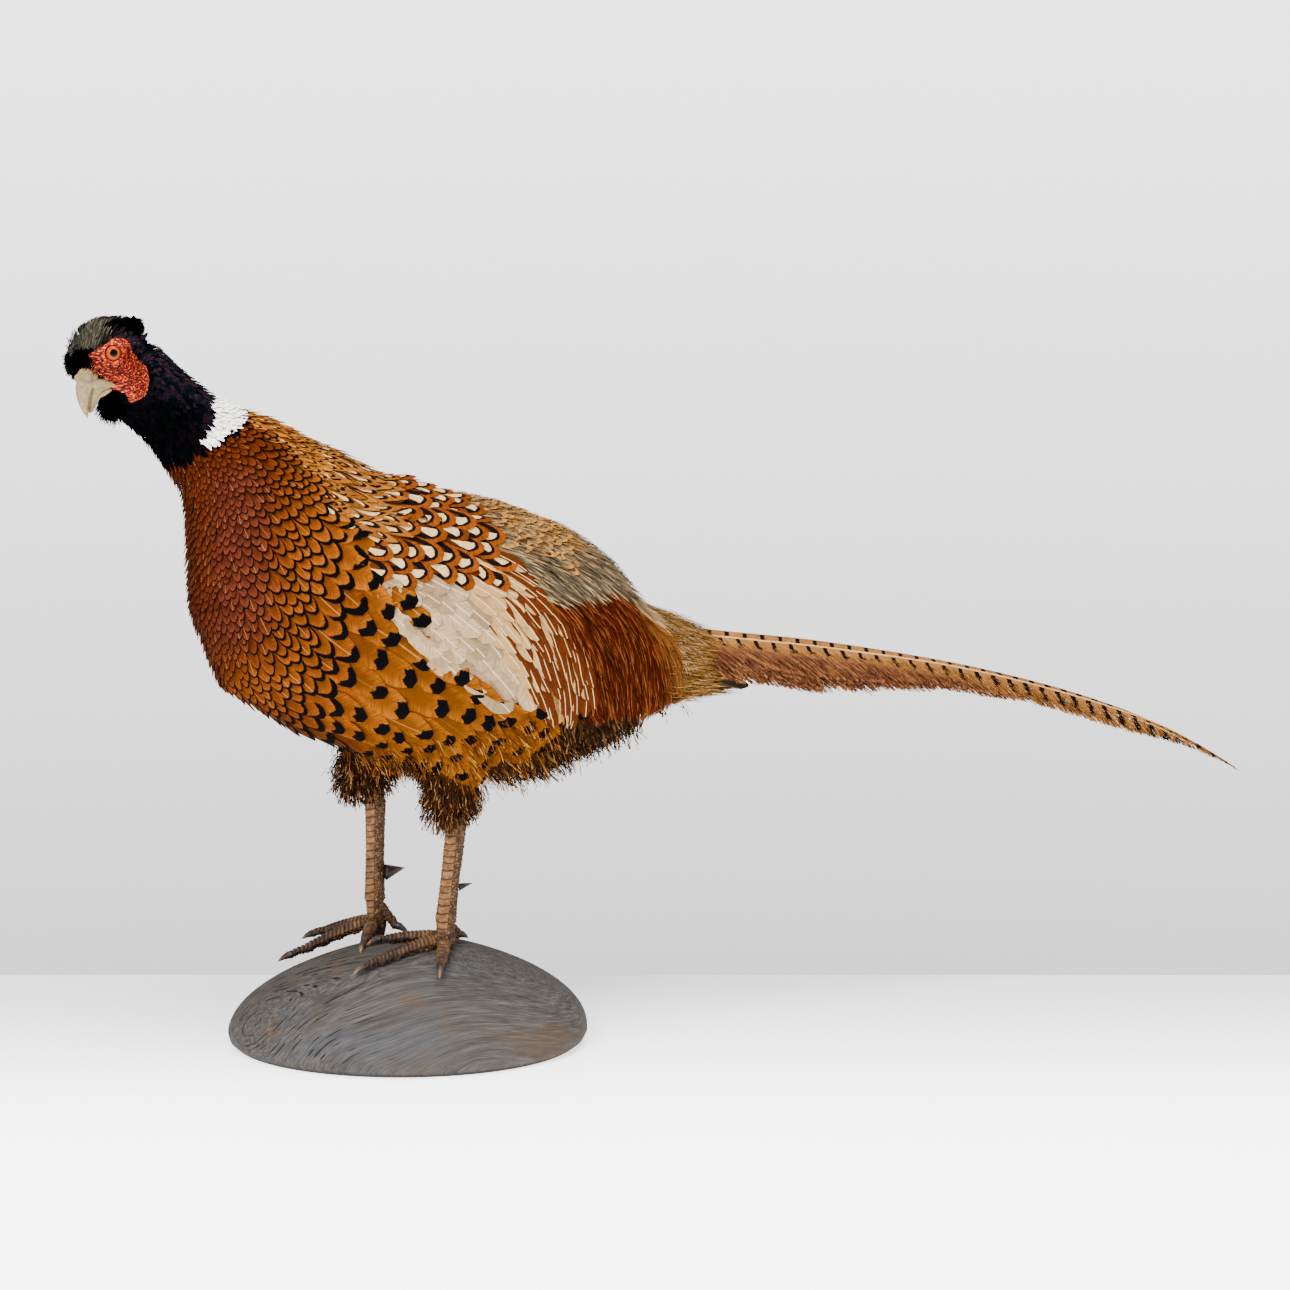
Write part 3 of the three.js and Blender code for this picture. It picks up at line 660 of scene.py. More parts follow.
# Spines that leave the skin, and bend from a first to a last direction.
def looseSpines(roots, first, last, length, rows, facing):
    t = np.linspace(0, 1, rows + 1)[None, :, None]
    first, last = unit(first)[:, None], unit(last)[:, None]
    place = roots[:, None] + (first * t + (last - first) * t**2 / 2) * (length * mm)[:, None, None]
    way = unit(first + (last - first) * t)
    normal = unit(facing)[:, None] - way * (facing[:, None] * way).sum(2, keepdims=True)
    return place, unit(normal), way


# A coat of feathers as one mesh, with a grid of vertices for each vane. Its spec gives the length and width
# as shares of the spacing, the lift of the tips as a share of the plumage's depth, their stray in degrees,
# the cup and round across the vane, and in millimetres the curl, droop, frizz and swell at cheek and nape.
def makeCoat(name, material, tips, normals, spec, scale, tints, marks=None, replaced=(), spines=None):
    count = len(tips)
    rows, cols = spec["rows"], spec["cols"]
    place, normal, way = spines or layVanes(tips, normals, spec, scale)
    bird3, head3 = toLocal(place[:, 0], birdFrame), toLocal(place[:, 0], headFrame)
    depth = depthAt(toLocal(tips, birdFrame), toLocal(tips, headFrame))
    height = spec.get("lift", 0.85) * depth * draw.uniform(0.8, 1.12, count) * mm
    v = np.linspace(0, 1, rows + 1)
    across = np.linspace(-1, 1, cols)
    halfWidth = spec["width"] / 2 * scale * mm * draw.uniform(0.9, 1.1, count)
    outline = vaneWidth(v, spec["kind"])
    ragged = 1 + draw.normal(0, spec.get("ragged", 0.05), (count, rows + 1, cols))
    lateral = across * outline[:, None] * ragged
    forward = spec.get("sweep", 0.2) * np.abs(across) * outline[:, None] * (1 - v[:, None])
    side = np.cross(normal, way)
    rise = height[:, None] * (0.12 + 0.88 * v**1.1)
    cheek = smooth(np.abs(head3[:, 1]), 3, 11) * smooth(-head3[:, 0], -8, 8) * smooth(head3[:, 2], -6, 4)
    gap = np.stack([head3[:, 0] - 20, np.abs(head3[:, 1]) - 13, head3[:, 2] + 5], 1) / (26, 12, 17)
    for label, full, least in (("puff", cheek, 0.35), ("nape", np.exp(-(gap**2).sum(1)), 0.5)):
        if label in spec:
            extra = spec[label] * mm * full * draw.uniform(least, 1, count)
            rise = rise + extra[:, None] * (1 - (1 - v) ** 2)
    rise = rise + spec.get("curl", 0) * mm * v**3 * draw.uniform(0.2, 1, count)[:, None]
    reach = lateral * halfWidth[:, None, None]
    drop = reach**2 / (2 * spec.get("round", 55) * mm)
    drop = drop + spec.get("cup", 0.25) * np.abs(reach) * np.abs(lateral)
    points = (
        place[:, :, None]
        + side[:, :, None] * reach[..., None]
        + way[:, :, None] * (forward * halfWidth[:, None, None])[..., None]
        + normal[:, :, None] * (rise[:, :, None] - drop)[..., None]
    )
    if "frizz" in spec:
        points = points + draw.normal(0, spec["frizz"] * mm, points.shape) * v[:, None, None]
    if "droop" in spec:
        points[..., 2] -= spec["droop"] * mm * v[:, None] ** 2 * draw.uniform(0.3, 1, count)[:, None, None]
    vane = np.zeros((count, rows + 1, cols, 2), np.float32)
    vane[..., 0] = 0.5 + 0.5 * across * outline[:, None]
    vane[..., 1] = v[:, None]
    unwrapped = unwrap(bird3)
    patch = np.zeros_like(vane)
    patch[..., 0] = unwrapped[:, 0, None, None] + 0.003 * (across * 0.5)
    patch[..., 1] = unwrapped[:, 1, None, None] + 0.003 * (v[:, None] - 0.5)
    mesh = stripMesh(name, points)
    addMap(mesh, "OFBake", patch.reshape(-1, 2))
    addMap(mesh, "vane", vane.reshape(-1, 2))
    repeated = np.repeat(np.arange(count), (rows + 1) * cols)
    shade = draw.normal(1, spec.get("uneven", 0.08), count).clip(0.6, 1.4)
    addAttribute(mesh, "tint", (np.asarray(tints) * shade[:, None])[repeated])
    addAttribute(mesh, "lot", draw.random(count)[repeated])
    for label, values in (marks or {}).items():
        addAttribute(mesh, label, values[repeated])
    addPiece(name, mesh, material, replaced)
    print(name, count, "feathers", 2 * len(mesh.polygons), "triangles")


# A coat that lies along the skin, with its tips on these samples.
def cover(name, paint, index, size, spec, tints=(1, 1, 1), marks=None):
    makeCoat(name, paint, samples[index], sampleNormals[index], spec, size, tints, marks)


# Loose strands with their roots on these samples; each one's length and a range of widths in millimetres.
def strands(name, paint, index, ways, length, width, spec, tints, marks=None, facing=0):
    normals = sampleNormals[index]
    spines = looseSpines(samples[index], *ways, length, spec["rows"], normals + facing)
    widths = draw.uniform(*width, len(index))
    makeCoat(name, paint, samples[index], normals, spec, widths, tints, marks, spines=spines)


loose = {"length": 1, "width": 1, "kind": "strand", "ragged": 0.1, "sweep": 0, "lift": 0}


# The body's middle line, for the unwrap that the feathers' own patches lie on.
spineLine = np.array([(-235, 500), (-196, 478), (-150, 430), (-100, 362), (-50, 310), (50, 277), (130, 264),
                      (250, 250), (300, 240)], float)


def unwrap(place):  # a cylinder's unwrap of the skin round the body's bent axis, filling the unit square
    x, y, z = place.T
    best = np.full(len(x), 1e9)
    along = np.zeros(len(x))
    off = np.zeros(len(x))
    travelled = 0
    for start, end in zip(spineLine[:-1], spineLine[1:]):
        run = end - start
        size = np.hypot(*run)
        t = np.clip(((x - start[0]) * run[0] + (z - start[1]) * run[1]) / size**2, 0, 1)
        dx, dz = x - start[0] - t * run[0], z - start[1] - t * run[1]
        gap = np.hypot(dx, dz)
        closer = gap < best
        best = np.where(closer, gap, best)
        along = np.where(closer, travelled + t * size, along)
        off = np.where(closer, (dz * run[0] - dx * run[1]) / size, off)
        travelled += size
    angle = np.arctan2(off, y)
    flat = np.stack([along, angle], 1)
    low, high = flat.min(0), flat.max(0)
    return 0.01 + 0.98 * (flat - low) / np.maximum(high - low, 1e-6)


def pick(name, spacing):  # evenly spaced feather tips over a marking, with each one's spacing in millimetres
    index = np.where(sampleRegion == regionNames.index(name))[0]
    if callable(spacing):
        spacing = spacing(samplePlace[index], sampleHead[index])
    spacing = np.broadcast_to(spacing, len(index))
    kept = thin(samples[index], spacing * mm)
    return index[kept], spacing[kept]


# A feather's material, with streaks along the barbs, which sweep away from the shaft.
def vanePaint(name, count, strength, roughness=0.75, gloss=0.02):
    paint = Paint(name, roughness, gloss)
    across, along = paint.vane()
    lean = along - abs(across) * 0.16
    lot = paint.number("lot")
    lines = paint.noise(paint.vector(lean * count, across * 1.6, lot * 37), 1, 2)
    return paint, across, along, lot, paint.step(lines, 0.3, 0.72) * strength + (1 - strength)


# The distance from a feather's middle, 1 at its round tip.
def rounded(paint, across, along, middle=0.5, reach=0.5):
    up = paint.sum("MAXIMUM", along - middle, 0) / reach
    return paint.sum("SQRT", across * across + up * up)


def contourPaint():
    paint, across, along, lot, lines = vanePaint("contourPaint", 34, 0.75)
    edge, spread, tint = paint.number("edge"), paint.number("spread"), paint.colour("tint")
    ragged = paint.noise(paint.vector(across * 9, along * 7, lot * 53), 1, 2)
    side = abs(across + (lot - 0.5) * 0.3) + (ragged - 0.5) * 0.25
    radius = rounded(paint, across, along) + (ragged - 0.5) * 0.07
    thickness = edge * (1 - paint.step(side, spread * 0.5, spread * 1.2))
    notch = (1 - paint.step(side, 0.0, 0.08)) * edge * 0.05
    black = paint.step(radius - (1 - thickness) - notch, -0.015, 0.02)
    ground = paint.mix(lines, paint.mix(0.68, tint, (0.004, 0.001, 0)), tint)
    # painted shade: each feather darker towards its root, where the feather above overlaps it
    rootShade = (1 - paint.step(radius, 0.3, 0.9)) * 0.85
    ground = paint.mix(rootShade, ground, paint.mix(0.7, tint, (0.012, 0.002, 0)))
    shaft = (1 - paint.step(abs(across), 0.02, 0.06)) * paint.step(lot, 0.6, 0.95) * 0.6
    ground = paint.mix(shaft, ground, (0.36, 0.16, 0.04))
    return paint.wear(paint.mix(black, ground, (0.0008, 0.0006, 0.0008)), lines, 0.6, 0.0004)


def contourSpacing(place, _):
    x, _, z = place.T
    size = 3.9 + 2.6 * smooth(x, -135, -95) + 8.6 * smooth(x - 0.15 * (z - 280), -95, -30)
    return size * (1 - 0.25 * smooth(z, 350, 400)) * (1 - 0.22 * (1 - smooth(z, 205, 240)))


def makeContour():
    spec = {"rows": 9, "cols": 7, "length": 3.3, "width": 1.5, "kind": "round", "ragged": 0.035,
            "sweep": 0.12, "stray": 6, "uneven": 0.1, "cup": 0.16, "curl": 0.5, "lift": 0.92}
    index, size = pick("contour", contourSpacing)
    place = samplePlace[index]
    x, z = place[:, 0], place[:, 2]
    towards = smooth(x - 0.15 * (z - 280), -85, -25)
    edge = 0.1 + 0.09 * smooth(x, -130, -85) + 0.16 * towards
    lower = 1 - smooth(z, 200, 225)
    marks = {"edge": edge * (1 - 0.3 * lower), "spread": 1.2 - 0.7 * towards}
    tints = tintAt(sampleRegion[index], place)
    cover("coatContour", contourPaint(), index, size, spec, tints, marks)


def neckPaint(name):
    paint, _, along, lot, lines = vanePaint(name, 9, 0.7, 0.8, 0)
    drift = paint.noise(paint.place(), 30, 2)
    # painted sheen: the neck's iridescent gloss put into the base colour as purple, blue and green patches,
    # scaled by each feather's sheen mark
    gloss = paint.ramp(drift * 0.7 + lot * 0.35, [
        (0.3, (0.001, 0.001, 0.001)), (0.44, (0.002, 0.0035, 0.005)), (0.52, (0.004, 0.009, 0.012)),
        (0.6, (0.018, 0.01, 0.021)), (0.74, (0.028, 0.013, 0.015)),
    ])
    gloss = paint.mix(paint.number("sheen"), (0.0006, 0.0006, 0.0008), gloss)
    tone = paint.mix(lines, (0.0002, 0.0002, 0.0002), gloss)
    tone = paint.mix(paint.step(along, 0.6, 0.95) * 0.4, tone, (0.0004, 0.0004, 0.0004))
    return paint.wear(tone, lines, 0.5, 0.0003)


def makeNeck():
    spec = {"rows": 4, "cols": 5, "length": 3.4, "width": 1.6, "kind": "round", "ragged": 0.12, "sweep": 0.3,
            "stray": 9, "uneven": 0.2, "cup": 0.1, "round": 24, "lift": 0.85, "frizz": 0.12, "nape": 11}
    index, size = pick("neck", lambda _, head: 1.9 + 0.5 * smooth(np.linalg.norm(head, axis=1), 30, 70))
    x, _, z = samplePlace[index].T
    # the painted sheen is strongest on the upper neck, where the highlights fall, and faint lower down
    upper = smooth(0.75 * x + z, 318, 352) * smooth(-x, 108, 122)
    marks = {"sheen": 0.12 + 0.88 * upper}
    cover("coatNeck", neckPaint("neckPaint"), index, size, spec, marks=marks)
    index, size = pick("forehead", 1.3)
    spec = {**spec, "length": 3.2, "lift": 0.8, "round": 14, "puff": 7}
    marks = {"sheen": np.zeros(len(index))}
    cover("coatForehead", neckPaint("foreheadPaint"), index, size, spec, marks=marks)


def nearHead(low, high):  # samples inside a box of the head's frame: forward, side and up
    forward, side, up = -sampleHead[:, 0], sampleHead[:, 1], sampleHead[:, 2]
    place = np.stack([forward, side, up], 1)
    return np.where(((place > low) & (place < high)).all(1))[0]


def inHead(forward, side, up):  # a direction given by the head's own axes
    return turned(np.array([-forward, side, up], float), headFrame)


# The ear tufts' middle line by forward, side and up in the head's frame, and how far the right one falls.
earTufts = {"line": [(0.5, 9, 14.5), (4.5, 12, 11.5), (9, 15.5, 6.5), (14, 19, -0.2), (16.9, 20.6, -4.2)],
            "count": 420, "across": (0.5, -0.6, -0.1), "rightFall": (0.5, 1.5, 4.5)}


def makeTufts():
    spec = {**loose, "rows": 6, "cols": 3, "uneven": 0.3, "cup": 0.1, "frizz": 0.12}
    plain, cap = neckPaint("tuftPaint"), crownPaint("browPaint")
    hair = hairPaint("hairPaint", (0.008, 0.005, 0.003), (0.17, 0.11, 0.065), 0.4)
    down = np.array([0, 0, -1.0])

    # each bundle's box of samples, first and last direction, length and width
    def bundle(name, count, low, high, first, last, length, width, spread=0.2, paint=plain,
               shares=(0.8, 0.1), tint=(0.034, 0.033, 0.025)):
        index = draw.choice(nearHead(low, high), count)
        normals = sampleNormals[index]
        ways = [normals * share + way + draw.normal(0, spread, (count, 3))
                for share, way in zip(shares, (first, last))]
        strands(name, paint, index, ways, draw.uniform(*length, count), width, spec, tint,
                {"sheen": np.zeros(count)})

    bundle("coatLores", 900, (14, -10, -2), (23, 11, 14), inHead(0.5, 0, 0.3), inHead(1, 0, -0.1), (3, 6),
           (0.8, 1.6))
    bundle("coatCheek", 800, (13, 3, 1.5), (25, 17, 12), inHead(0.6, 0.8, 0.3), inHead(0.9, 0.4, 0.1),
           (6, 10), (0.9, 1.9))
    bundle("coatBrow", 700, (3, 5, 7), (21, 20, 18), inHead(0.5, 0.5, 0), inHead(0.9, 0.2, -0.8), (6, 11),
           (0.8, 1.6), paint=cap)
    bundle("coatBeard", 380, (23, -9, -32), (42, 12, -15), inHead(0.2, 0, -0.2), down, (5, 11), (0.8, 1.9),
           0.3)
    bundle("coatThroat", 260, (30, -12, -60), (75, 12, -20), inHead(-0.5, 0, -0.6), down, (3, 7), (0.6, 1.4),
           0.35)
    bundle("coatHairs", 46, (-9, -22, -14), (1, -12, 7), inHead(-0.8, -0.3, 0.3), inHead(-0.4, 0, -1),
           (6, 12), (0.25, 0.45), 0.15, hair, (0.5, 0.2), (0.04, 0.025, 0.016))
    line, count = np.array(earTufts["line"]), earTufts["count"]
    across = unit(np.array(earTufts["across"]))
    upward = unit(np.cross(unit(line[-1] - line[0]), across))
    t = np.linspace(0, 1, 8)
    curve = curveThrough(line, 8)
    thick = 3.6 + 2.6 * smooth(t, 0, 0.7)
    for name, side in sides.items():
        turn = draw.uniform(0, math.tau, count)
        far = np.sqrt(draw.random(count))
        offset = (np.cos(turn) * far)[:, None, None] * across * 0.8
        offset = offset + (np.sin(turn) * far)[:, None, None] * upward
        stretch = draw.uniform(0.66, 1.04, count)
        spread = np.array([[np.interp(t * k, t, part) for part in curve.T] for k in stretch]).swapaxes(1, 2)
        past = np.maximum(stretch - 1, 0)[:, None, None] * 8 * t[None, :, None] ** 4
        spread += (curve[-1] - curve[-2]) * past
        if name == "right":
            spread -= np.array(earTufts["rightFall"]) * t[None, :, None]
        mirror = np.array([1, side, 1])
        place = toWorld((spread + offset * thick[None, :, None]) * mirror, headFrame)
        way = unit(np.gradient(place, axis=1))
        facing = turned(offset * mirror + 0.01, headFrame)
        facing = unit(facing - way * (facing * way).sum(2, keepdims=True))
        makeCoat("earTuft" + name.title(), plain, place[:, -1], facing[:, -1],
                 {**spec, "rows": 7, "kind": "blunt"}, draw.uniform(0.9, 1.7, count), (1, 1, 1),
                 {"sheen": np.zeros(count)}, ["ear_tuft_" + name], (place, facing, way))


def crownPaint(name):
    paint, across, _, lot, lines = vanePaint(name, 7, 0.6)
    tone = paint.mix(lines, (0.004, 0.004, 0.003), paint.colour("tint"))
    pale = (1 - paint.step(abs(across), 0.08, 0.3)) * paint.step(lot, 0.6, 0.85)
    return paint.wear(paint.mix(pale * 0.7, tone, (0.16, 0.11, 0.06)), lines, 0.4, 0.0002)


def makeCrown():
    spec = {"rows": 5, "cols": 3, "length": 4.6, "width": 1.25, "kind": "pointed", "ragged": 0.08,
            "stray": 8, "uneven": 0.3, "cup": 0.1, "round": 16, "lift": 0.95, "puff": 6.5, "nape": 7}
    index, size = pick("crown", 1.2)
    edge = 1 - smooth(sampleHead[index, 2], 11, 14.5)
    tints = blend((0.034, 0.033, 0.023), (0.004, 0.004, 0.004), edge * smooth(sampleHead[index, 0], -16, -6))
    cover("coatCrown", crownPaint("crownPaint"), index, size, spec, tints)


def makeCollar():
    paint, _, _, _, lines = vanePaint("collarPaint", 7, 0.3, 0.7, 0.2)
    tone = paint.mix(lines, (0.6, 0.54, 0.46), paint.colour("tint"))
    spec = {"rows": 4, "cols": 5, "length": 3.4, "width": 1.6, "kind": "round", "ragged": 0.16, "sweep": 0.3,
            "stray": 10, "uneven": 0.05, "cup": 0.1, "round": 26, "lift": 0.95, "frizz": 0.15}
    index, size = pick("collar", 1.9)
    white = (0.95, 0.94, 0.9)
    cover("coatCollar", paint.wear(tone, lines, 0.4, 0.0002), index, size, spec, white)


def mantlePaint():
    paint, across, along, lot, lines = vanePaint("mantlePaint", 16, 0.6)
    wobble = paint.noise(paint.vector(across * 4, along * 6, lot * 61), 1, 2) - 0.5
    side = abs(across - (lot - 0.5) * 0.3) + wobble * 0.2
    radius = rounded(paint, across, along, 0.42, 0.58) + wobble * 0.16
    ground = paint.mix(lines, (0.07, 0.018, 0.002), paint.colour("tint"))
    tip = paint.step(along + wobble * 0.1, 0.46, 0.54)
    ring = paint.step(radius, 0.52, 0.57) * (1 - paint.step(radius, 0.7, 0.75))
    ground = paint.mix(ring * tip * paint.step(lot, 0.12, 0.2), ground, (0.003, 0.002, 0.001))
    streak = paint.step((along - 0.44) * 0.6 - side, -0.02, 0.03) * (1 - paint.step(radius, 0.46, 0.5))
    tone = paint.mix(paint.step(lot, 0.62, 0.66), (0.26, 0.105, 0.02), (0.5, 0.31, 0.11))
    return paint.wear(paint.mix(streak * tip, ground, tone), lines, 0.6, 0.0004)


def scapularPaint(name, edge, length, lean):  # rings of tan, black and cream inside each feather's edge
    paint, across, along, lot, lines = vanePaint(name, 24, 0.6)
    wobble = paint.noise(paint.vector(across * 4, along * 5, lot * 71), 1, 2) - 0.5
    radius = rounded(paint, across, along, 1 - length, length) + wobble * 0.12
    dark = paint.mix(0.75, paint.colour("tint"), (0.01, 0.002, 0.0005))
    ground = paint.mix(lines, dark, paint.colour("tint"))
    ring = 1 - paint.step(radius, edge + 0.14, edge + 0.17)
    ground = paint.mix(ring, ground, (0.003, 0.002, 0.0015))
    aside = abs(across - (lot - 0.5) * lean) + wobble * 0.1
    wedge = paint.step((along - 0.85 + length) * 0.6 / (length + 0.15) - aside, -0.04, 0.02)
    cream = (1 - paint.step(radius, edge, edge + 0.03)) * wedge
    inner = 1 - paint.step(radius, edge - 0.24, edge - 0.18)
    ground = paint.mix(inner, ground, dark)
    ground = paint.mix(cream * (1 - inner * paint.step(lot, 0.78, 0.84)), ground,
                       paint.mix(lines, (0.26, 0.14, 0.045), (0.54, 0.37, 0.18)))
    return paint.wear(ground, lines, 0.6, 0.0004)


def makeMantle():
    spec = {"rows": 8, "cols": 5, "length": 4.6, "width": 1.3, "kind": "pointed", "ragged": 0.07,
            "sweep": 0.25, "stray": 8, "uneven": 0.2, "cup": 0.2, "curl": 0.8, "round": 40, "lift": 0.95}
    index, size = pick("mantle", 4.6)
    tints = blend((0.27, 0.085, 0.008), (0.2, 0.06, 0.008), smooth(draw.random(len(index)), 0.6, 0.9))
    cover("coatMantle", mantlePaint(), index, size, spec, tints)
    spec = {**spec, "length": 6.4, "width": 1.5, "rows": 11, "cols": 7, "stray": 5, "ragged": 0.04}
    index, size = pick("scapularFront", 6.6)
    paint = scapularPaint("shoulderPaint", 0.58, 0.66, 0.5)
    cover("coatShoulder", paint, index, size, spec, (0.22, 0.07, 0.008))


def makeScapulars():
    spec = {"rows": 10, "cols": 9, "length": 3.2, "width": 1.62, "kind": "round", "ragged": 0.03,
            "sweep": 0.12, "stray": 6, "uneven": 0.12, "cup": 0.2, "curl": 0.7, "lift": 1.0}
    index, size = pick("scapular", lambda place, _: 9.6 + 1.6 * smooth(place[:, 0], -30, 20))
    paint = scapularPaint("scapularPaint", 0.62, 0.5, 0.6)
    cover("coatScapular", paint, index, size, spec, (0.15, 0.032, 0.002))


def covertPaint():
    paint, across, _, lot, lines = vanePaint("covertPaint", 44, 0.55)
    tone = paint.ramp(lot, [(0.0, (0.17, 0.108, 0.056)), (0.5, (0.275, 0.182, 0.096)),
                            (1.0, (0.385, 0.265, 0.142))])
    tone = paint.mix(lines, (0.11, 0.068, 0.036), tone)
    side = abs(across)
    shaft = 1 - paint.step(side, 0.02, 0.07)
    tone = paint.mix(shaft * 0.6, tone, (0.6, 0.46, 0.3))
    edge = paint.step(across, 0.7, 0.86) * paint.step(paint.number("edge"), 0.4, 0.6)
    return paint.wear(paint.mix(edge, tone, (0.1, 0.02, 0.003)), lines, 0.5, 0.0004)


def flightPaint():
    paint, across, along, lot, lines = vanePaint("flightPaint", 60, 0.45)
    wobble = paint.noise(paint.vector(across * 2, along * 5, lot * 71), 1, 2) - 0.5
    half = paint.step(across + wobble * 0.5 + paint.number("edge"), -0.02, 0.06)
    cream = paint.mix(lines, (0.11, 0.05, 0.014), (0.36, 0.21, 0.08))
    chestnut = paint.mix(lines, (0.01, 0.002, 0.0005), (0.075, 0.015, 0.002))
    tone = paint.mix(half, cream, chestnut)
    shaft = 1 - paint.step(abs(across), 0.03, 0.08)
    return paint.wear(paint.mix(shaft * 0.8, tone, (0.6, 0.42, 0.22)), lines, 0.5, 0.0004)


def makeWings():
    spec = {"rows": 12, "cols": 7, "length": 6.0, "width": 1.9, "kind": "blunt", "ragged": 0.03, "sweep": 0.1,
            "stray": 3, "uneven": 0.06, "cup": 0.1, "lift": 0.8}
    index, size = pick("panel", lambda place, _: 2.8 + 6 * smooth(place[:, 0], -30, 15))
    edge = draw.random(len(index)) * smooth(samplePlace[index, 0], 20, 50)
    cover("coatCovert", covertPaint(), index, size, spec, marks={"edge": edge})
    spec = {**spec, "length": 6.4, "width": 1.25, "stray": 4, "lift": 1.1, "uneven": 0.15}
    index, size = pick("streak", 7.4)
    edge = -0.7 + 1.45 * smooth(samplePlace[index, 0], 42, 92) + draw.uniform(-0.4, 0.4, len(index))
    cover("coatFlight", flightPaint(), index, size, spec, marks={"edge": edge})


def hairPaint(name, dark, pale, share=0.5):
    paint, _, along, lot, lines = vanePaint(name, 5, 0.35)
    tone = paint.mix(lines, dark, paint.colour("tint"))
    light = paint.step(lot, 1 - share, 1 - share * 0.6) * paint.step(along, 0.3, 0.7)
    tone = paint.mix((1 - paint.step(lot, 0.05, 0.3)) * 0.8, tone, dark)
    return paint.wear(paint.mix(light * 0.8, tone, pale), lines, 0.4, 0.0002)


def saddlePaint():
    paint, across, along, lot, lines = vanePaint("saddlePaint", 12, 0.7)
    wobble = paint.noise(paint.vector(across * 3, along * 5, lot * 61), 1, 3) - 0.5
    radius = rounded(paint, across, along) + wobble * 0.5
    gold = paint.mix(lines, (0.08, 0.03, 0.005), (0.36, 0.16, 0.036))
    ground = paint.mix(lines, (0.03, 0.02, 0.01), paint.colour("tint"))
    ground = paint.mix(paint.step(radius, 0.55, 0.8), ground, gold)
    dark = (1 - paint.step(abs(radius - 0.6), 0.02, 0.09)) * paint.step(lot, 0.3, 0.6)
    return paint.wear(paint.mix(dark, ground, (0.012, 0.007, 0.003)), lines, 0.6, 0.0004)


def makeRump():
    spec = {"rows": 6, "cols": 3, "length": 11.0, "width": 1.15, "kind": "strand", "ragged": 0.1, "sweep": 0,
            "stray": 7, "uneven": 0.25, "cup": 0.1, "curl": 0.6, "lift": 0.95, "frizz": 0.12}
    index, size = pick("rump", 1.9)
    x, _, z = samplePlace[index].T
    patches = np.array([noise.noise(Vector(point) * 0.12) for point in samplePlace[index].tolist()])
    high = smooth(z + 0.55 * x, 372, 400)
    share = np.clip(high * 0.75 + patches * 0.9, 0, 1) * smooth(z, 315, 345)
    tints = blend((0.1, 0.076, 0.044), (0.21, 0.082, 0.012), share)
    paint = hairPaint("rumpPaint", (0.012, 0.007, 0.003), (0.32, 0.2, 0.085), 0.22)
    cover("coatRump", paint, index, size, spec, tints)
    saddle = {**spec, "rows": 7, "cols": 7, "length": 3.6, "width": 1.45, "kind": "round", "ragged": 0.12,
              "stray": 12, "cup": 0.2, "lift": 1.0, "uneven": 0.2}
    index, size = pick("rump", 5.4)
    x, _, z = samplePlace[index].T
    high = (z + 0.55 * x > 380) & (x < 112)
    cover("coatSaddle", saddlePaint(), index[high], size[high], saddle, (0.115, 0.084, 0.045))
    index, size = pick("rust", 1.7)
    x, _, z = samplePlace[index].T
    tints = blend((0.05, 0.0068, 0.0006), (0.14, 0.055, 0.01), smooth(x + 0.4 * (z - 250), 168, 192))
    paint = hairPaint("rustPaint", (0.012, 0.0014, 0.0004), (0.17, 0.05, 0.011), 0.3)
    cover("coatRust", paint, index, size, {**spec, "length": 14, "droop": 2}, tints)
    index, size = pick("tailCover", 1.7)
    short = samplePlace[index, 0] < 219 + 18 * (samplePlace[index, 2] < 244)
    paint = hairPaint("tailCoverPaint", (0.03, 0.016, 0.007), (0.5, 0.32, 0.16), 0.5)
    spec = {**spec, "length": 15, "width": 0.8, "lift": 0.5, "curl": 0.2, "frizz": 0.05}
    cover("coatTailCover", paint, index[short], size[short], spec, (0.2, 0.11, 0.045))


def makeTailRoot():
    spec = {**loose, "rows": 7, "cols": 3, "uneven": 0.35, "cup": 0.1, "frizz": 0.1}
    x, _, z = samplePlace.T
    index = np.where((x > 172) & (x < 226) & (z > 226))[0]
    index = draw.choice(index, min(2200, len(index)), replace=False)
    x, y, z = samplePlace[index].T
    way = turned(np.tile((1.0, 0, -0.2), (len(index), 1)), birdFrame)
    first = way + sampleNormals[index] * 0.15 + draw.normal(0, 0.1, (len(index), 3))
    inward = turned(np.stack([np.zeros(len(index)), -y * 0.02, (250 - z) * 0.012], 1), birdFrame)
    last = way + inward + draw.normal(0, 0.12, (len(index), 3))
    length = np.minimum(draw.uniform(9, 25, len(index)), 228 + 12 * (z < 244) - x)
    paint = hairPaint("tailRootPaint", (0.012, 0.005, 0.001), (0.4, 0.2, 0.06), 0.35)
    length = np.maximum(length, 3)
    strands("coatTailRoot", paint, index, (first, last), length, (0.4, 0.9), spec,
            (0.13, 0.056, 0.009))
    blunt = {**spec, "cols": 5, "kind": "blunt", "ragged": 0.06}
    count = 34
    roots = np.stack([draw.uniform(*span, count) for span in ((204, 228), (-15, 15), (229, 242))], 1)
    roots = toWorld(roots, birdFrame)
    way = turned(np.tile((1.0, 0, -0.42), (count, 1)) + draw.normal(0, 0.1, (count, 3)), birdFrame)
    side = np.where(draw.random(count) < 0.5, -1.0, 1.0)
    facing = turned(np.stack([np.zeros(count), side, np.full(count, -0.3)], 1), birdFrame)
    spines = looseSpines(roots, way, way + np.array([0, 0, 0.25]), draw.uniform(12, 22, count), 7, facing)
    paint = hairPaint("undertailPaint", (0.006, 0.004, 0.002), (0.13, 0.09, 0.048), 0.35)
    makeCoat("coatUndertail", paint, roots, facing, blunt, draw.uniform(4, 7, count),
             (0.052, 0.038, 0.02), spines=spines)


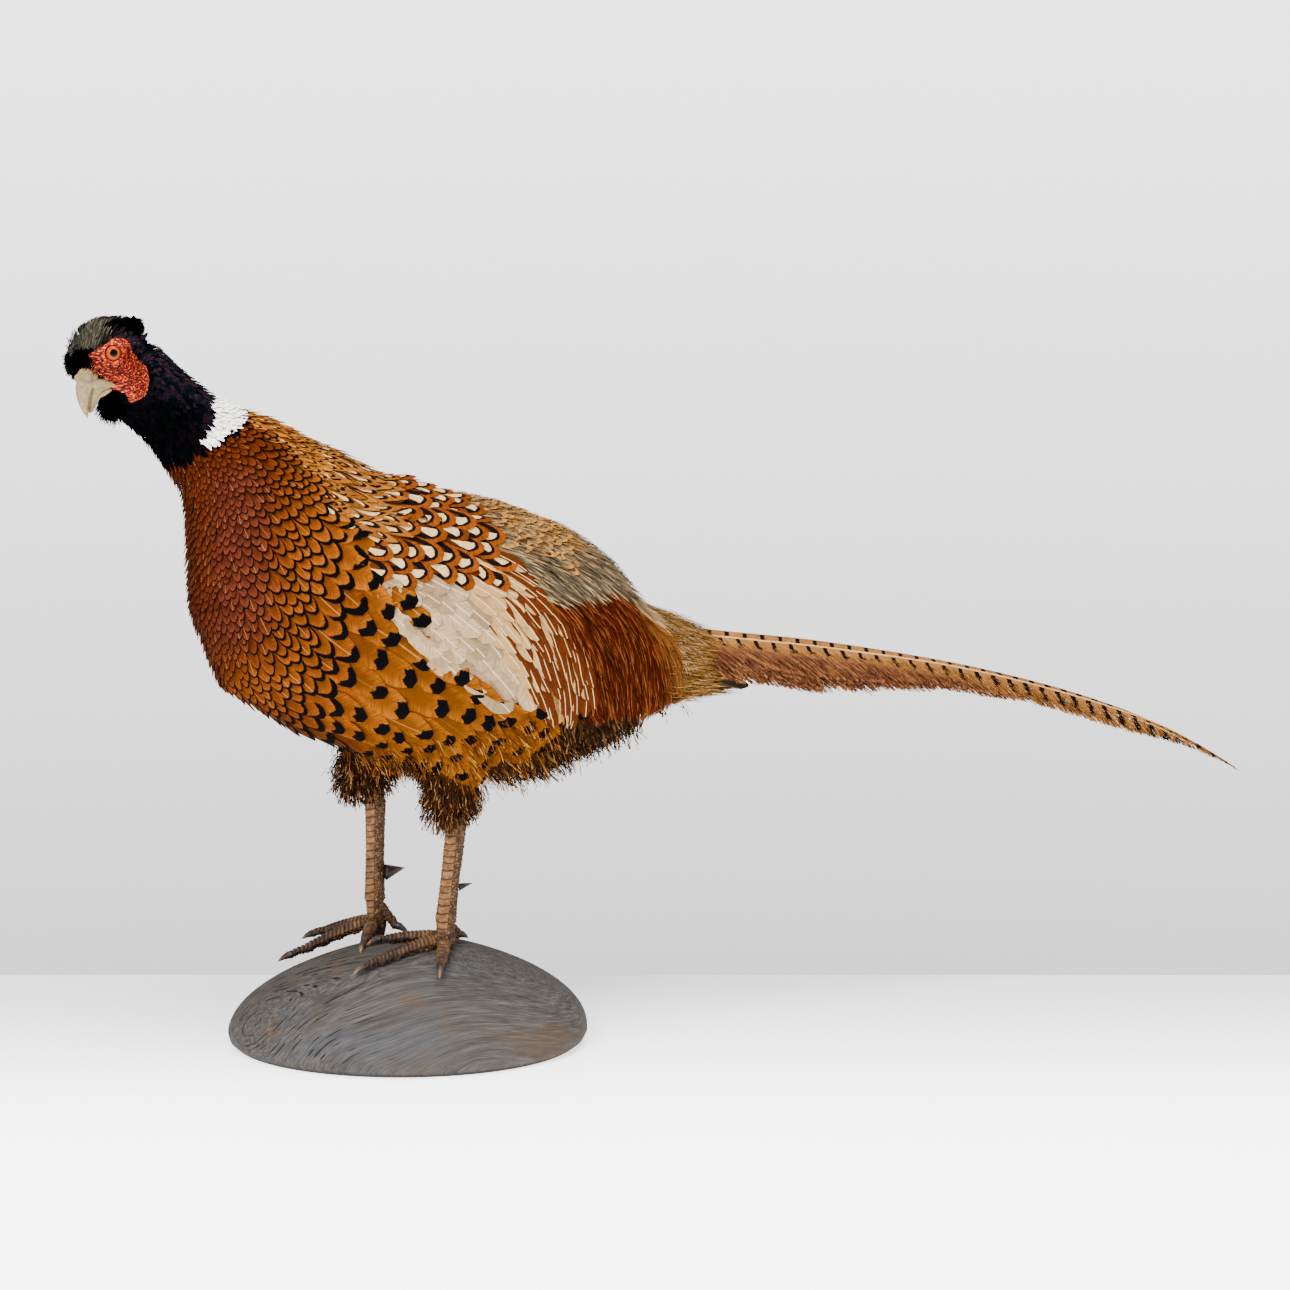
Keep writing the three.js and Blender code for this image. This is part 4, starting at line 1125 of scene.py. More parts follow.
def makeFluff():
    spec = {"rows": 5, "cols": 2, "length": 9.0, "width": 0.8, "kind": "strand", "ragged": 0.1, "sweep": 0,
            "stray": 22, "uneven": 0.3, "cup": 0, "curl": 5, "lift": 1.0, "frizz": 0.5, "droop": 5}
    index, size = pick("vent", 1.7)
    paint = hairPaint("ventPaint", (0.003, 0.001, 0.0005), (0.12, 0.055, 0.02), 0.25)
    cover("coatVent", paint, index, size, spec, (0.02, 0.008, 0.002))
    wisp = {**loose, "rows": 7, "cols": 2, "uneven": 0.4, "cup": 0, "frizz": 0.35}
    down = np.array([0, 0, -1.0])
    for name, region, count, length, tint, pale, width in (
        ("coatVentWisps", "vent", 1300, (10, 26), (0.02, 0.008, 0.002), (0.16, 0.07, 0.025), (0.35, 0.9)),
        ("coatFlankWisps", "contour", 1100, (12, 27), (0.12, 0.036, 0.004), (0.3, 0.13, 0.03), (0.3, 0.8)),
        ("coatBoot", "boot", 2600, (8, 16), (0.03, 0.011, 0.003), (0.2, 0.085, 0.028), (0.6, 1.5)),
    ):
        index = np.where(sampleRegion == regionNames.index(region))[0]
        x, _, z = samplePlace[index].T
        low = {"vent": z < 225, "contour": (x > -45) & (z < 228 + 0.25 * x), "boot": z < 300}[region]
        index = draw.choice(index[low], min(count, low.sum()), replace=False)
        normals = sampleNormals[index]
        if region == "boot":
            first = normals * 0.75 + 0.35 * down + draw.normal(0, 0.2, (len(index), 3))
            last = normals * 0.15 + down + draw.normal(0, 0.25, (len(index), 3))
        else:
            first = normals * 0.5 + lieAt(samples[index], normals) + draw.normal(0, 0.3, (len(index), 3))
            last = first + 1.1 * down + draw.normal(0, 0.35, (len(index), 3))
        paint = hairPaint(name.replace("coat", "soft") + "Paint", (0.003, 0.001, 0.0005), pale, 0.28)
        strands(name, paint, index, (first, last), draw.uniform(*length, len(index)), width, wisp, tint,
                facing=0.01)


def loft(rings):  # a closed surface through rings of points in the row's frame, shut at both ends
    made = bmesh.new()
    around = len(rings[0])
    bmesh.ops.create_circle(made, segments=around, radius=1)
    edges = list(made.edges)
    ring = sorted(made.verts, key=lambda vert: math.atan2(vert.co.y, vert.co.x) % math.tau)
    for vert, place in zip(ring, rings[0]):
        vert.co = place
    first = ring
    for places in rings[1:]:
        grown = bmesh.ops.extrude_edge_only(made, edges=edges)["geom"]
        edges = [item for item in grown if isinstance(item, bmesh.types.BMEdge)]
        edges = [edge for edge in edges if all(vert not in ring for vert in edge.verts)]
        follow = {}
        for vert in ring:
            for edge in vert.link_edges:
                other = edge.other_vert(vert)
                if other in ring or other in first and ring is not first:
                    continue
                if any(link in edges for link in other.link_edges):
                    follow[vert] = other
        ring = [follow[vert] for vert in ring]
        for vert, place in zip(ring, places):
            vert.co = place
    for end in (first, ring):
        bmesh.ops.pointmerge(made, verts=end, merge_co=sum((vert.co for vert in end), Vector()) / len(end))
    bmesh.ops.recalc_face_normals(made, faces=made.faces)
    return made


def curveThrough(stations, count):  # a smooth run through stations, by rows of numbers
    rows = np.array(stations, float)
    padded = np.vstack([2 * rows[0] - rows[1], rows, 2 * rows[-1] - rows[-2]])
    t = np.linspace(0, len(rows) - 1, count)
    index = np.minimum(t.astype(int), len(rows) - 2)
    f = (t - index)[:, None]
    a, b, c, d = (padded[index + k] for k in range(4))
    return 0.5 * (2 * b + (c - a) * f + (2 * a - 5 * b + 4 * c - d) * f**2 + (3 * b - a - 3 * c + d) * f**3)


def edgeGap(x, z, outline):  # the distance to an outline, above 0 inside it
    gap = np.full(len(x), 1e9)
    for (ax, az), (bx, bz) in zip(outline, outline[1:] + outline[:1]):
        rx, rz = bx - ax, bz - az
        t = np.clip(((x - ax) * rx + (z - az) * rz) / (rx * rx + rz * rz), 0, 1)
        gap = np.minimum(gap, np.hypot(x - ax - t * rx, z - az - t * rz))
    return np.where(inside(x, z, outline), gap, -gap)


# The eyes, by forward, side and up in the head's frame; the gaze is the line each looks along.
eyes = {"centre": (10.7, 14.9, 4.7), "gaze": (0.36, 0.83, 0.42), "ball": 6.2, "opening": 4.75}


def eyeAxes(side):
    forward, out, up = eyes["centre"]
    ahead, away, above = eyes["gaze"]
    return np.array([-forward, side * out, up]), unit(np.array([-ahead, side * away, above]))


def eyePaint():
    paint = Paint("eyePaint", 0.05, 0.07)
    ring = paint.number("ring")
    flecks = paint.noise(paint.place(), 1600, 3)
    iris = paint.mix(paint.step(flecks, 0.35, 0.65), (0.15, 0.015, 0.0), (0.28, 0.034, 0.0))
    inner = paint.mix(paint.step(ring, 0.55, 0.85), (0.26, 0.037, 0.0), iris)
    rim = paint.mix(paint.step(ring, 0.93, 1.02), inner, (0.05, 0.004, 0.001))
    pupil = paint.step(ring, 0.51, 0.55)
    return paint.wear(paint.mix(pupil, (0.001, 0.001, 0.0015), rim))


def makeEyes():
    for name, side in sides.items():
        centre, gaze = eyeAxes(side)
        made = bmesh.new()
        bmesh.ops.create_uvsphere(made, u_segments=40, v_segments=48, radius=eyes["ball"])
        turn = Vector(gaze.tolist()).to_track_quat("Z", "Y").to_matrix().to_4x4()
        ring = [math.hypot(vert.co.x, vert.co.y) / eyes["opening"] + (9 if vert.co.z < 0 else 0)
                for vert in made.verts]
        place = headFrame @ Matrix.Scale(mm, 4) @ Matrix.Translation(centre.tolist()) @ turn
        bmesh.ops.transform(made, matrix=place, verts=made.verts)
        mesh = meshFromBmesh("eye" + name.title(), made)
        addAttribute(mesh, "ring", ring)
        addPiece(mesh.name, mesh, eyePaint(), ["eye_" + name])


def facePaint():
    paint = Paint("facePaint", 0.55, 0.06)
    pore, pale = paint.number("pore"), paint.number("pale")
    grain = paint.noise(paint.place(), 700, 2)
    value = pore + (grain - 0.5) * 0.5
    deep = paint.ramp(value, [(0.15, (0.014, 0.0005, 0.0002)), (0.38, (0.15, 0.008, 0.001)),
                              (0.62, (0.34, 0.022, 0.0015)), (0.92, (0.62, 0.09, 0.018))])
    light = paint.ramp(value, [(0.15, (0.08, 0.005, 0.002)), (0.45, (0.38, 0.045, 0.012)),
                               (0.9, (0.72, 0.19, 0.09))])
    return paint.wear(paint.mix(pale, deep, light), grain, 0.3, 0.0002)


# How far out from the head's middle plane the form lies at each cell, smoothed, and where it was hit.
def castFace(tree, cell, counts, forward, up, side):
    inward = turned(np.array([0, -side, 0.0]), headFrame).tolist()
    starts = toWorld(np.stack([-forward, np.full(len(forward), side * 45.0), up], 1), headFrame)
    reach = np.full(counts + 1, np.nan)
    for (i, j), start in zip(cell, starts.tolist()):
        hit = tree.ray_cast(start, inward)[0]
        if hit is not None:
            reach[i, j] = side * toLocal(np.array([hit[:]]), headFrame)[0, 1]
    known = ~np.isnan(reach)
    reach = np.where(known, reach, 0)
    around = [(shift, axis) for axis in (0, 1) for shift in (-1, 1)]
    for _ in range(14):
        padded, mask = np.pad(reach * known, 1), np.pad(known, 1).astype(float)
        total = sum(np.roll(padded, shift, axis) for shift, axis in around) + padded
        weight = sum(np.roll(mask, shift, axis) for shift, axis in around) + mask
        reach = np.where(known, (total / np.maximum(weight, 1))[1:-1, 1:-1], reach)
    return reach[cell[:, 0], cell[:, 1]], known[cell[:, 0], cell[:, 1]]


def papillae(forward, up, near, radius):  # 1 at the middle of each papilla of the skin and 0 between them
    cells = []
    for spot in zip(forward.tolist(), up.tolist()):
        stir = noise.noise_vector(Vector((*spot, 5)) * 0.5) * 0.5
        cells.append(noise.voronoi(Vector((*spot, 0)) / face["papilla"] + stir)[0][:2])
    first, second = np.array(cells).T
    pore = smooth(second - first, 0.02, 0.42) * (1 - 0.55 * first)
    folds = np.sin(radius * 2.6 + 2.2 * np.sin(np.arctan2(near[:, 2], near[:, 0]) * 3)) * 0.5 + 0.5
    return np.clip(pore * (0.75 + 0.4 * folds), 0, 1)


def makeFaces():
    form = remeshed("faceForm", copyNodes(["head", "neck", "wattle_left", "wattle_right"], 0.4 * mm), 1.0, 9)
    held = bmesh.new()
    held.from_mesh(form)
    tree = BVHTree.FromBMesh(held)
    held.free()
    bpy.data.meshes.remove(form)
    low, high = np.array(faceOutline).min(0) - 1, np.array(faceOutline).max(0) + 1
    counts = np.ceil((high - low) / face["grid"]).astype(int)
    for name, side in sides.items():
        made = bmesh.new()
        bmesh.ops.create_grid(made, x_segments=int(counts[0]), y_segments=int(counts[1]), size=0.5)
        made.verts.ensure_lookup_table()
        flat = np.array([vert.co[:2] for vert in made.verts]) + 0.5
        cell = np.rint(flat * counts).astype(int)
        forward, up = (low + flat * (high - low)).T
        out, known = castFace(tree, cell, counts, forward, up, side)
        gap = edgeGap(forward, up, faceOutline)
        centre, gaze = eyeAxes(side)
        ahead, away, above = -gaze[0], side * gaze[1], gaze[2]
        axis = np.array([ahead, away, above])
        brim = math.sqrt(eyes["ball"] ** 2 - eyes["opening"] ** 2)

        def flush(level):  # how far out a surface lies that stands this far along the gaze
            level = level - (forward + centre[0]) * ahead - (up - centre[2]) * above
            return level / away + side * centre[1]

        shaped = out
        for _ in range(6):  # the lids' surface, by its own distance from the gaze
            near = np.stack([forward + centre[0], shaped - side * centre[1], up - centre[2]], 1)
            radius = np.linalg.norm(near - (near @ axis)[:, None] * axis, axis=1)
            lid = brim + face["lid"] * np.exp(-(((radius - 6.0) / 0.8) ** 2))
            lid = lid - 1.2 * (1 - smooth(radius, 4.7, 5.4))
            share = 1 - smooth(radius, 6.6, 10)
            shaped = out * (1 - share) + flush(lid) * share
        pore = papillae(forward, up, near, radius)
        calm = smooth(radius, 5.0, 7.0)
        swell = 0.3 * smooth(-up, 6, 20) * smooth(gap, 0, 5)
        if name == "right":  # this wattle bulges forward, beyond the bill's root
            bulge = np.exp(-(((forward - 21) / 5) ** 2) - ((up + 8) / 6) ** 2)
            swell += face["rightBulge"] * bulge * smooth(gap, 0, 4)
        lift = face["lift"] * smooth(gap, 0, 2) - face["tuck"] * (1 - smooth(gap, -0.3, 1.2)) + swell
        relief = face["relief"] * (pore - 0.4) * calm
        lift = lift + relief * smooth(gap, 0.2, 1.4)
        surface = (out + lift) * (1 - share) + flush(lid + 0.4 * relief) * share
        places = toWorld(np.stack([-forward, side * surface, up], 1), headFrame)
        for vert, place in zip(made.verts, places.tolist()):
            vert.co = place
        spare = (gap < -0.4) | (radius < 4.5) | ~known
        spare |= (side > 0) & (up > face["rightTop"]) & (radius > 6.5)
        kept = np.where(~spare)[0]
        bmesh.ops.delete(made, geom=[made.verts[i] for i in np.where(spare)[0]], context="VERTS")
        bmesh.ops.recalc_face_normals(made, faces=made.faces)
        made.faces.ensure_lookup_table()
        middle = made.faces[len(made.faces) // 2]
        if middle.normal.dot(Vector(turned(np.array([0, side, 0.0]), headFrame).tolist())) < 0:
            bmesh.ops.reverse_faces(made, faces=made.faces)
        mesh = meshFromBmesh("face" + name.title(), made)
        edge = 1 - smooth(gap, 0.3, 2.2)
        brow = smooth(up, -3, 8) * (1 - smooth(forward, 2, 9))
        around = 1 - smooth(radius, 6.0, 8.5)
        t = np.clip(((forward - 3) * 3.5 - up * 6) / (3.5**2 + 6**2), 0, 1)  # the ear's opening
        ear = np.exp(-((np.hypot(forward - 3 - 3.5 * t, up + 6 * t) / 1.1) ** 2))
        addAttribute(mesh, "pore", (pore * (1 - 0.85 * ear))[kept])
        addAttribute(mesh, "pale", (np.clip(0.85 * edge + 0.9 * brow + 0.7 * around, 0, 1) * (1 - ear))[kept])
        addPiece(mesh.name, mesh, facePaint(), ["wattle_" + name])


# The bill's stations: reach from its base, height, half width, height above and depth below.
bill = {
    "base": 22, "length": 25.5, "around": 72, "rows": 80,
    "upper": [(-0.3, -1, 6.0, 5.4, 3.6), (-0.1, -0.6, 6.7, 6.9, 4.3), (0.1, -0.9, 7.1, 7.6, 4.6),
              (0.3, -1.0, 6.9, 7.4, 4.5), (0.5, -1.9, 6.0, 6.7, 4.2), (0.68, -3.6, 4.9, 5.8, 3.8),
              (0.84, -6.9, 3.5, 4.3, 3.2), (0.95, -10.6, 1.9, 2.5, 2.2), (1.02, -14.0, 0.3, 0.4, 0.5)],
    "lower": [(-0.3, -5.0, 5.8, 2.6, 4.6), (0.0, -5.4, 6.9, 2.4, 6.6), (0.25, -5.8, 6.6, 2.2, 7.4),
              (0.45, -7.0, 5.5, 2.0, 6.8), (0.62, -9.2, 4.0, 1.6, 5.2), (0.76, -12.0, 2.4, 1.0, 3.0),
              (0.86, -14.2, 0.5, 0.4, 0.5)],
    "cere": 1.3, "nostril": (29.4, 2.8, 3.2, 3.9),
}


def billPaint():
    paint = Paint("billPaint", 0.5, 0.1)
    along, low = paint.number("along"), paint.number("low")
    streaks = paint.noise(paint.place(), 420, 4)
    ground = paint.ramp(streaks, [(0.3, (0.11, 0.08, 0.038)), (0.5, (0.18, 0.136, 0.068)),
                                  (0.75, (0.235, 0.182, 0.098))])
    base = 1 - paint.step(along, 0.1, 0.34)
    ground = paint.mix(base * 0.5, ground, (0.3, 0.18, 0.07))
    # painted shade: low darkens the cutting edge, where the mandibles meet, and the crease round each
    # nostril's lobe
    ground = paint.mix(low * 0.85, ground, (0.04, 0.025, 0.012))
    return paint.wear(ground, streaks, 0.35, 0.0003)


def makeBill(name, node, stations):
    rows = curveThrough(stations, bill["rows"])
    angle = roundAngles(bill["around"])
    rings = []
    for reach, height, wide, up, down in rows:
        wide, up, down = max(wide, 0.05), max(up, 0.05), max(down, 0.05)
        x = -(bill["base"] + bill["length"] * reach)
        cos, sin = np.cos(angle), np.sin(angle)
        y = wide * np.sign(cos) * np.abs(cos) ** 0.85
        z = np.where(sin > 0, up * np.abs(sin) ** 1.25, -down * np.abs(sin) ** 0.8)
        grow = np.zeros(len(angle))
        if name == "billUpper":
            knob = bill["cere"] * math.exp(-(((reach - 0.18) / 0.16) ** 2))
            grow += knob * np.exp(-(((np.degrees(angle) - 90) / 34) ** 2))
        out = unit(np.stack([y / wide**2, z / up**2], 1))
        y, z = y + out[:, 0] * grow, z + out[:, 1] * grow
        rings.append(toWorld(np.stack([np.full(len(y), x), y, z + height], 1), headFrame))
    mesh = meshFromBmesh(name, loft(rings))
    place = toLocal(readPoints(mesh), headFrame)
    reach = (-place[:, 0] - bill["base"]) / bill["length"]
    addAttribute(mesh, "along", reach)
    low = np.zeros(len(place))
    if name == "billUpper":  # the cutting edge, the lobe over each nostril, and the crease round it
        curve = np.interp(reach, rows[:, 0], rows[:, 1])
        # low holds painted shade: a dark line along the cutting edge and a dark ring in the crease round each
        # nostril's lobe
        low = np.exp(-(((place[:, 2] - curve + 0.6) / 0.8) ** 2)) * smooth(np.abs(place[:, 1]), 1.5, 3)
        ahead, out, up, radius = bill["nostril"]
        flank = np.stack([-place[:, 0], np.abs(place[:, 1]), place[:, 2]], 1)
        near = np.linalg.norm(flank - (ahead, out, up), axis=1)
        crease = np.exp(-(((near - radius) / 0.5) ** 2)) * smooth(np.abs(place[:, 1]), 0.4, 1.6)
        crease *= smooth((flank[:, 0] - ahead) * 0.5 - (flank[:, 2] - up), -1.5, 3)
        rise = 1.7 * (1 - smooth(near, radius * 0.55, radius)) - 0.5 * crease
        writePoints(mesh, readPoints(mesh) + readNormals(mesh) * rise[:, None] * mm)
        low = np.maximum(low, 0.8 * crease)
    addAttribute(mesh, "low", low)
    addPiece(name, mesh, billPaint(), [node])


# The horny corners of the gape, by forward, side, up and radius in the head's frame.
gape = {
    "upper": [(33, 4.4, -2.2, 2.2), (30, 6.0, -2.8, 3.0), (27.2, 7.8, -5.2, 3.1), (24.8, 9.2, -9, 2.2),
              (22.4, 9.6, -13.2, 1.1), (21.8, 9.2, -15.6, 0.3)],
    "flank": [(39, 2.2, -10.5, 0.6), (36.5, 3.2, -8.4, 2.2), (32.5, 5.4, -6.4, 2.8), (28.7, 7.5, -7.4, 2.1),
              (25.5, 8.9, -10.5, 1.2), (23.5, 9.4, -13.2, 0.3)],
    "lower": [(36.5, 3.0, -12.2, 0.8), (33, 4.7, -10, 2.1), (30, 6.6, -11, 2.2), (27.3, 8.2, -12.4, 1.6),
              (25, 8.6, -14.4, 0.4)],
}


def makeGape():
    angle = roundAngles(16)
    for name, side in sides.items():
        parts = []
        for rows in (curveThrough(gape[part], 26) for part in ("upper", "flank", "lower")):
            middle = rows[:, :3] * (-1, side, 1)
            way = unit(np.gradient(middle, axis=0))
            across = unit(np.cross(way, (0, 0, 1.0)))
            over = np.cross(way, across)
            circle = np.cos(angle)[:, None] * across[:, None] + np.sin(angle)[:, None] * over[:, None]
            rings = middle[:, None] + circle * rows[:, 3][:, None, None]
            parts.append(meshFromBmesh("gape", loft([toWorld(ring, headFrame) for ring in rings])))
        mesh = joinMeshes("gape" + name.title(), parts)
        place = toLocal(readPoints(mesh), headFrame)
        addAttribute(mesh, "along", 0.1 + 0.3 * smooth(place[:, 2], -14, -3))
        addAttribute(mesh, "low", np.zeros(len(place)))
        addPiece(mesh.name, mesh, billPaint())


# The tail: the ridge line that the feathers follow, their lengths, and their half widths along it.
tail = {
    "ridge": [(241, 266), (300, 256), (370, 241), (440, 223), (515, 198.5), (580, 170), (648, 128)],
    "left": (424, 262, 176, 108, 60), "right": (328, 232, 146, 84, 44),
    "width": [(0, 23), (30, 25), (70, 23.5), (110, 20), (150, 17.5), (200, 17), (260, 17.5), (310, 16),
              (350, 13), (424, 9)],
    "slope": 0.82, "step": 1.35, "overlap": 3,
    "row": 2.2, "shaft": 6.6, "solid": 0.56, "bar": 13.4, "hidden": 34, "rear": 26, "barbs": 7,
}


def tailRun(reach):  # the ridge's place and direction, by distances along it
    fine = curveThrough(tail["ridge"], 400)
    run = np.concatenate([[0], np.cumsum(np.hypot(*np.diff(fine, axis=0).T))])
    x, z = np.interp(reach, run, fine[:, 0]), np.interp(reach, run, fine[:, 1])
    dx, dz = np.gradient(fine[:, 0], run), np.gradient(fine[:, 1], run)
    way = unit(np.stack([np.interp(reach, run, dx), np.interp(reach, run, dz)], -1))
    return np.stack([x, z], -1) + np.minimum(reach, 0)[..., None] * way, way


def tailPoint(reach, across, side, level):  # points on the blade that drapes from the ridge
    place, way = tailRun(reach)
    drop = tail["slope"] * np.maximum(np.abs(across) - tail["overlap"], 0) + level
    x = place[..., 0] + way[..., 1] * drop
    z = place[..., 1] - way[..., 0] * drop
    return np.stack([x, side * across, z], -1)


def tailSpan(reach, length):
    along, wide = zip(*tail["width"])
    point = np.sqrt(np.clip(1 - smooth(reach / length, 0.66, 1.02), 0, 1))
    return np.maximum(np.interp(reach, along, wide) * point, 0.9)


def tailPaint():
    paint = Paint("tailPaint")
    reach, across, lot = paint.number("reach"), paint.number("across"), paint.number("lot")
    past = across - paint.number("shaftAt")
    off = abs(past)
    barb = reach - off * 1.25
    lines = paint.step(paint.noise(paint.vector(barb * 1.6, off * 0.12, lot * 9), 1, 2), 0.3, 0.7)
    drift = paint.noise(paint.vector(reach * 0.05, across * 0.25, lot * 5), 1, 3)
    buff = paint.mix(lines, (0.12, 0.045, 0.011), (0.3, 0.128, 0.033))
    far = paint.step(reach, 150, 260)
    strand = paint.sum("FRACT", lot * 7.3)
    wine = paint.mix(lines * 0.45 + strand * 0.55, (0.011, 0.0035, 0.002), (0.19, 0.064, 0.03))
    wine = paint.mix(paint.step(drift, 0.45, 0.6), wine, paint.mix(0.6, wine, (0.3, 0.12, 0.04)))
    outer = paint.step(off + (drift - 0.5) * 7 - far * 5, 6.0, 10.0)
    ground = paint.mix(outer, buff, wine)
    below = paint.step(past, -0.2, 0.2)
    lean = reach - off * 0.2 + (drift - 0.5) * 2
    phase = paint.sum("FRACT", lean / tail["bar"] + lot * 0.31 + below * 0.45)
    gap = abs(phase - 0.5) * 2
    width = 0.27 + far * 0.14 + (drift - 0.5) * 0.16
    bar = 1 - paint.step(gap, width * 0.75, width)
    reachOut = 1 - paint.step(off + (drift - 0.5) * 6, 6.2 + far * 2, 7.8 + far * 2)
    ground = paint.mix(bar * reachOut, ground, (0.003, 0.0025, 0.0025))
    shaft = 1 - paint.step(off, 0.3, 0.7)
    ground = paint.mix(shaft, ground, (0.5, 0.27, 0.1))
    return paint.wear(ground, lines, 0.5, 0.0004)


def joinMeshes(name, meshes):
    made = bmesh.new()
    for mesh in meshes:
        made.from_mesh(mesh)
    for mesh in meshes:
        bpy.data.meshes.remove(mesh)
    return meshFromBmesh(name, made)


def markTail(mesh, reach, across, lot, shaft):  # a tail feather's own measures, by vertex
    for label, values in (("reach", reach), ("across", across), ("lot", lot), ("shaftAt", shaft)):
        addAttribute(mesh, label, np.broadcast_to(values, reach.shape).ravel())


def makeBlade(length, side, level):  # the solid middle of a tail feather
    reach = np.linspace(-tail["hidden"], length, int(length / tail["row"]))
    span = tailSpan(reach, length)
    kink = np.minimum(tail["overlap"], span * 0.4)[:, None]
    outer = (span * tail["solid"] * (1 + draw.normal(0, 0.05, len(reach))))[:, None]
    across = -kink + (kink + outer) * np.linspace(0, 1, 11)
    reach = reach[:, None] + np.maximum(across, 0) * 0.25
    place = tailPoint(np.minimum(reach, length), across, side, level)
    lot = draw.random()
    shaft = np.minimum(tail["shaft"], span * 0.3)[:, None]
    place[..., 2] += 0.5 * np.exp(-(((across - shaft) / 0.6) ** 2))
    mesh = stripMesh("blade", toWorld(place[None], birdFrame))
    markTail(mesh, reach, across, lot, shaft)
    return mesh


def makeFringe(length, side, level):  # the barbs past its edge, each one a narrow strip
    count = int((length + tail["rear"]) * tail["barbs"])

    def vary(low, high):
        return draw.uniform(low, high, count)[:, None]

    start = np.sort(vary(-tail["rear"], length * 0.985), 0)
    width = tailSpan(start, length)
    inner = width * vary(0.46, 0.68)
    gap = width * (1.16 - 0.42 * draw.random(count)[:, None] ** 1.6) - inner
    t = np.linspace(0, 1, 6)
    travel = gap * vary(0.9, 1.9) * t**0.9
    over = inner + gap * t
    thick = 0.22 * (1 - 0.8 * t) * vary(0.6, 1.3)
    edges = []
    for edge in (-1, 1):
        along = np.minimum(start + travel + edge * thick, tail["left"][0])
        place = tailPoint(along, over, side, level - vary(0.1, 0.9))
        place[..., 1] += side * draw.normal(0, 0.35, count)[:, None] * t * 2
        place[..., 2] -= vary(0, 1.5) * t**2
        edges.append(place)
    mesh = stripMesh("fringe", toWorld(np.stack(edges, 2), birdFrame))
    reach = np.repeat((start + travel)[..., None], 2, 2)
    markTail(mesh, reach, over[..., None], draw.random(count)[:, None, None], tail["shaft"])
    return mesh


def makeTail():
    paint = tailPaint()
    for name, side in sides.items():
        for number, length in enumerate(tail[name]):
            level = (2 * number + (name == "right")) * tail["step"] + 0.3
            title = f"tail{name.title()}{number + 1}"
            mesh = joinMeshes(title, [make(length, side, level) for make in (makeBlade, makeFringe)])
            spots = toLocal(readPoints(mesh), birdFrame)
            low, high = spots.min(0), spots.max(0)
            flat = (spots - low) / (high - low)
            addMap(mesh, "OFBake", 0.02 + 0.96 * flat[:, [0, 2 if number else 1]])
            addPiece(title, mesh, paint, [f"tail_{name}_{number + 1}"])


# The legs: the shank's axis from hock to ankle, the toes' common root, and the foot's heading in degrees.
legs = {
    "left": {"hock": (26, -32, 162), "ankle": (15.5, -36, 86), "ball": (15.5, -37, 77), "heading": 32},
    "right": {"hock": (-16.5, 19, 167), "ankle": (-18, 19.5, 90), "ball": (-17, 18, 76), "heading": 14},
}
# The joints' radii, with the toe's steps inward from each claw; the spurs' root radii; the scales' sizes.
toes = ("inner", "middle", "outer", "hallux")
joints = {"ankle": 6.1, "hock": 6.4, "toe": ((0, 2.5), (2.5, 2.9), (5, 3.1))}
spurs = {"left": 2.8, "right": 6, "past": (3, 0, 0.3)}
scales = {"scute": 4.9, "ring": 2.8, "bead": 1.9, "groove": 0.45, "voxel": 0.5}


def legPaint():
    paint = Paint("legPaint", 0.5, 0.12)
    plate, age = paint.number("plate"), paint.number("age")
    grain = paint.noise(paint.place(), 260, 4)
    horn = paint.ramp(grain, [(0.3, (0.055, 0.022, 0.006)), (0.5, (0.112, 0.049, 0.015)),
                              (0.72, (0.21, 0.1, 0.033))])
    worn = paint.ramp(grain, [(0.3, (0.01, 0.006, 0.005)), (0.52, (0.032, 0.016, 0.01)),
                              (0.75, (0.1, 0.042, 0.018))])
    ground = paint.mix(age, horn, worn)
    ground = paint.mix((1 - plate) * 0.95, ground, (0.01, 0.004, 0.002))
    return paint.wear(ground, grain, 0.35, 0.0002)


def addBall(made, spot, radius, fine=3):  # a joint, placed in the bird's frame
    place = Matrix.Translation(toWorld(spot[None], birdFrame)[0].tolist())
    bmesh.ops.create_icosphere(made, subdivisions=fine, radius=radius * mm, matrix=place)


def legMesh(name, hock, ankle, ball):  # shank and toes as one surface, with their joints filled in
    made = copyNodes(["shank_" + name, "foot_" + name], 0.3 * mm)
    for share in np.linspace(-0.35, 1, 6):  # between shank and toes
        addBall(made, ankle + (ball - ankle) * share, joints["ankle"] + 0.5 * share)
    for toe in toes:  # under each claw's root
        corners = toLocal(readPoints(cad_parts[f"claw_{toe}_{name}"].data), birdFrame)
        flat = np.linalg.norm(corners - ball, axis=1)
        root = corners[flat < flat.min() + 2.2].mean(0)
        inward = unit(ball - root)
        for step, radius in joints["toe"][:1 if toe == "hallux" else 3]:
            addBall(made, root + inward * step, radius, 2)
    for rise in (0, 5, 10):  # the hock, up inside the tuft
        addBall(made, hock + (0, 0, rise), joints["hock"])
    return remeshed("leg" + name.title(), made, scales["voxel"], 8)


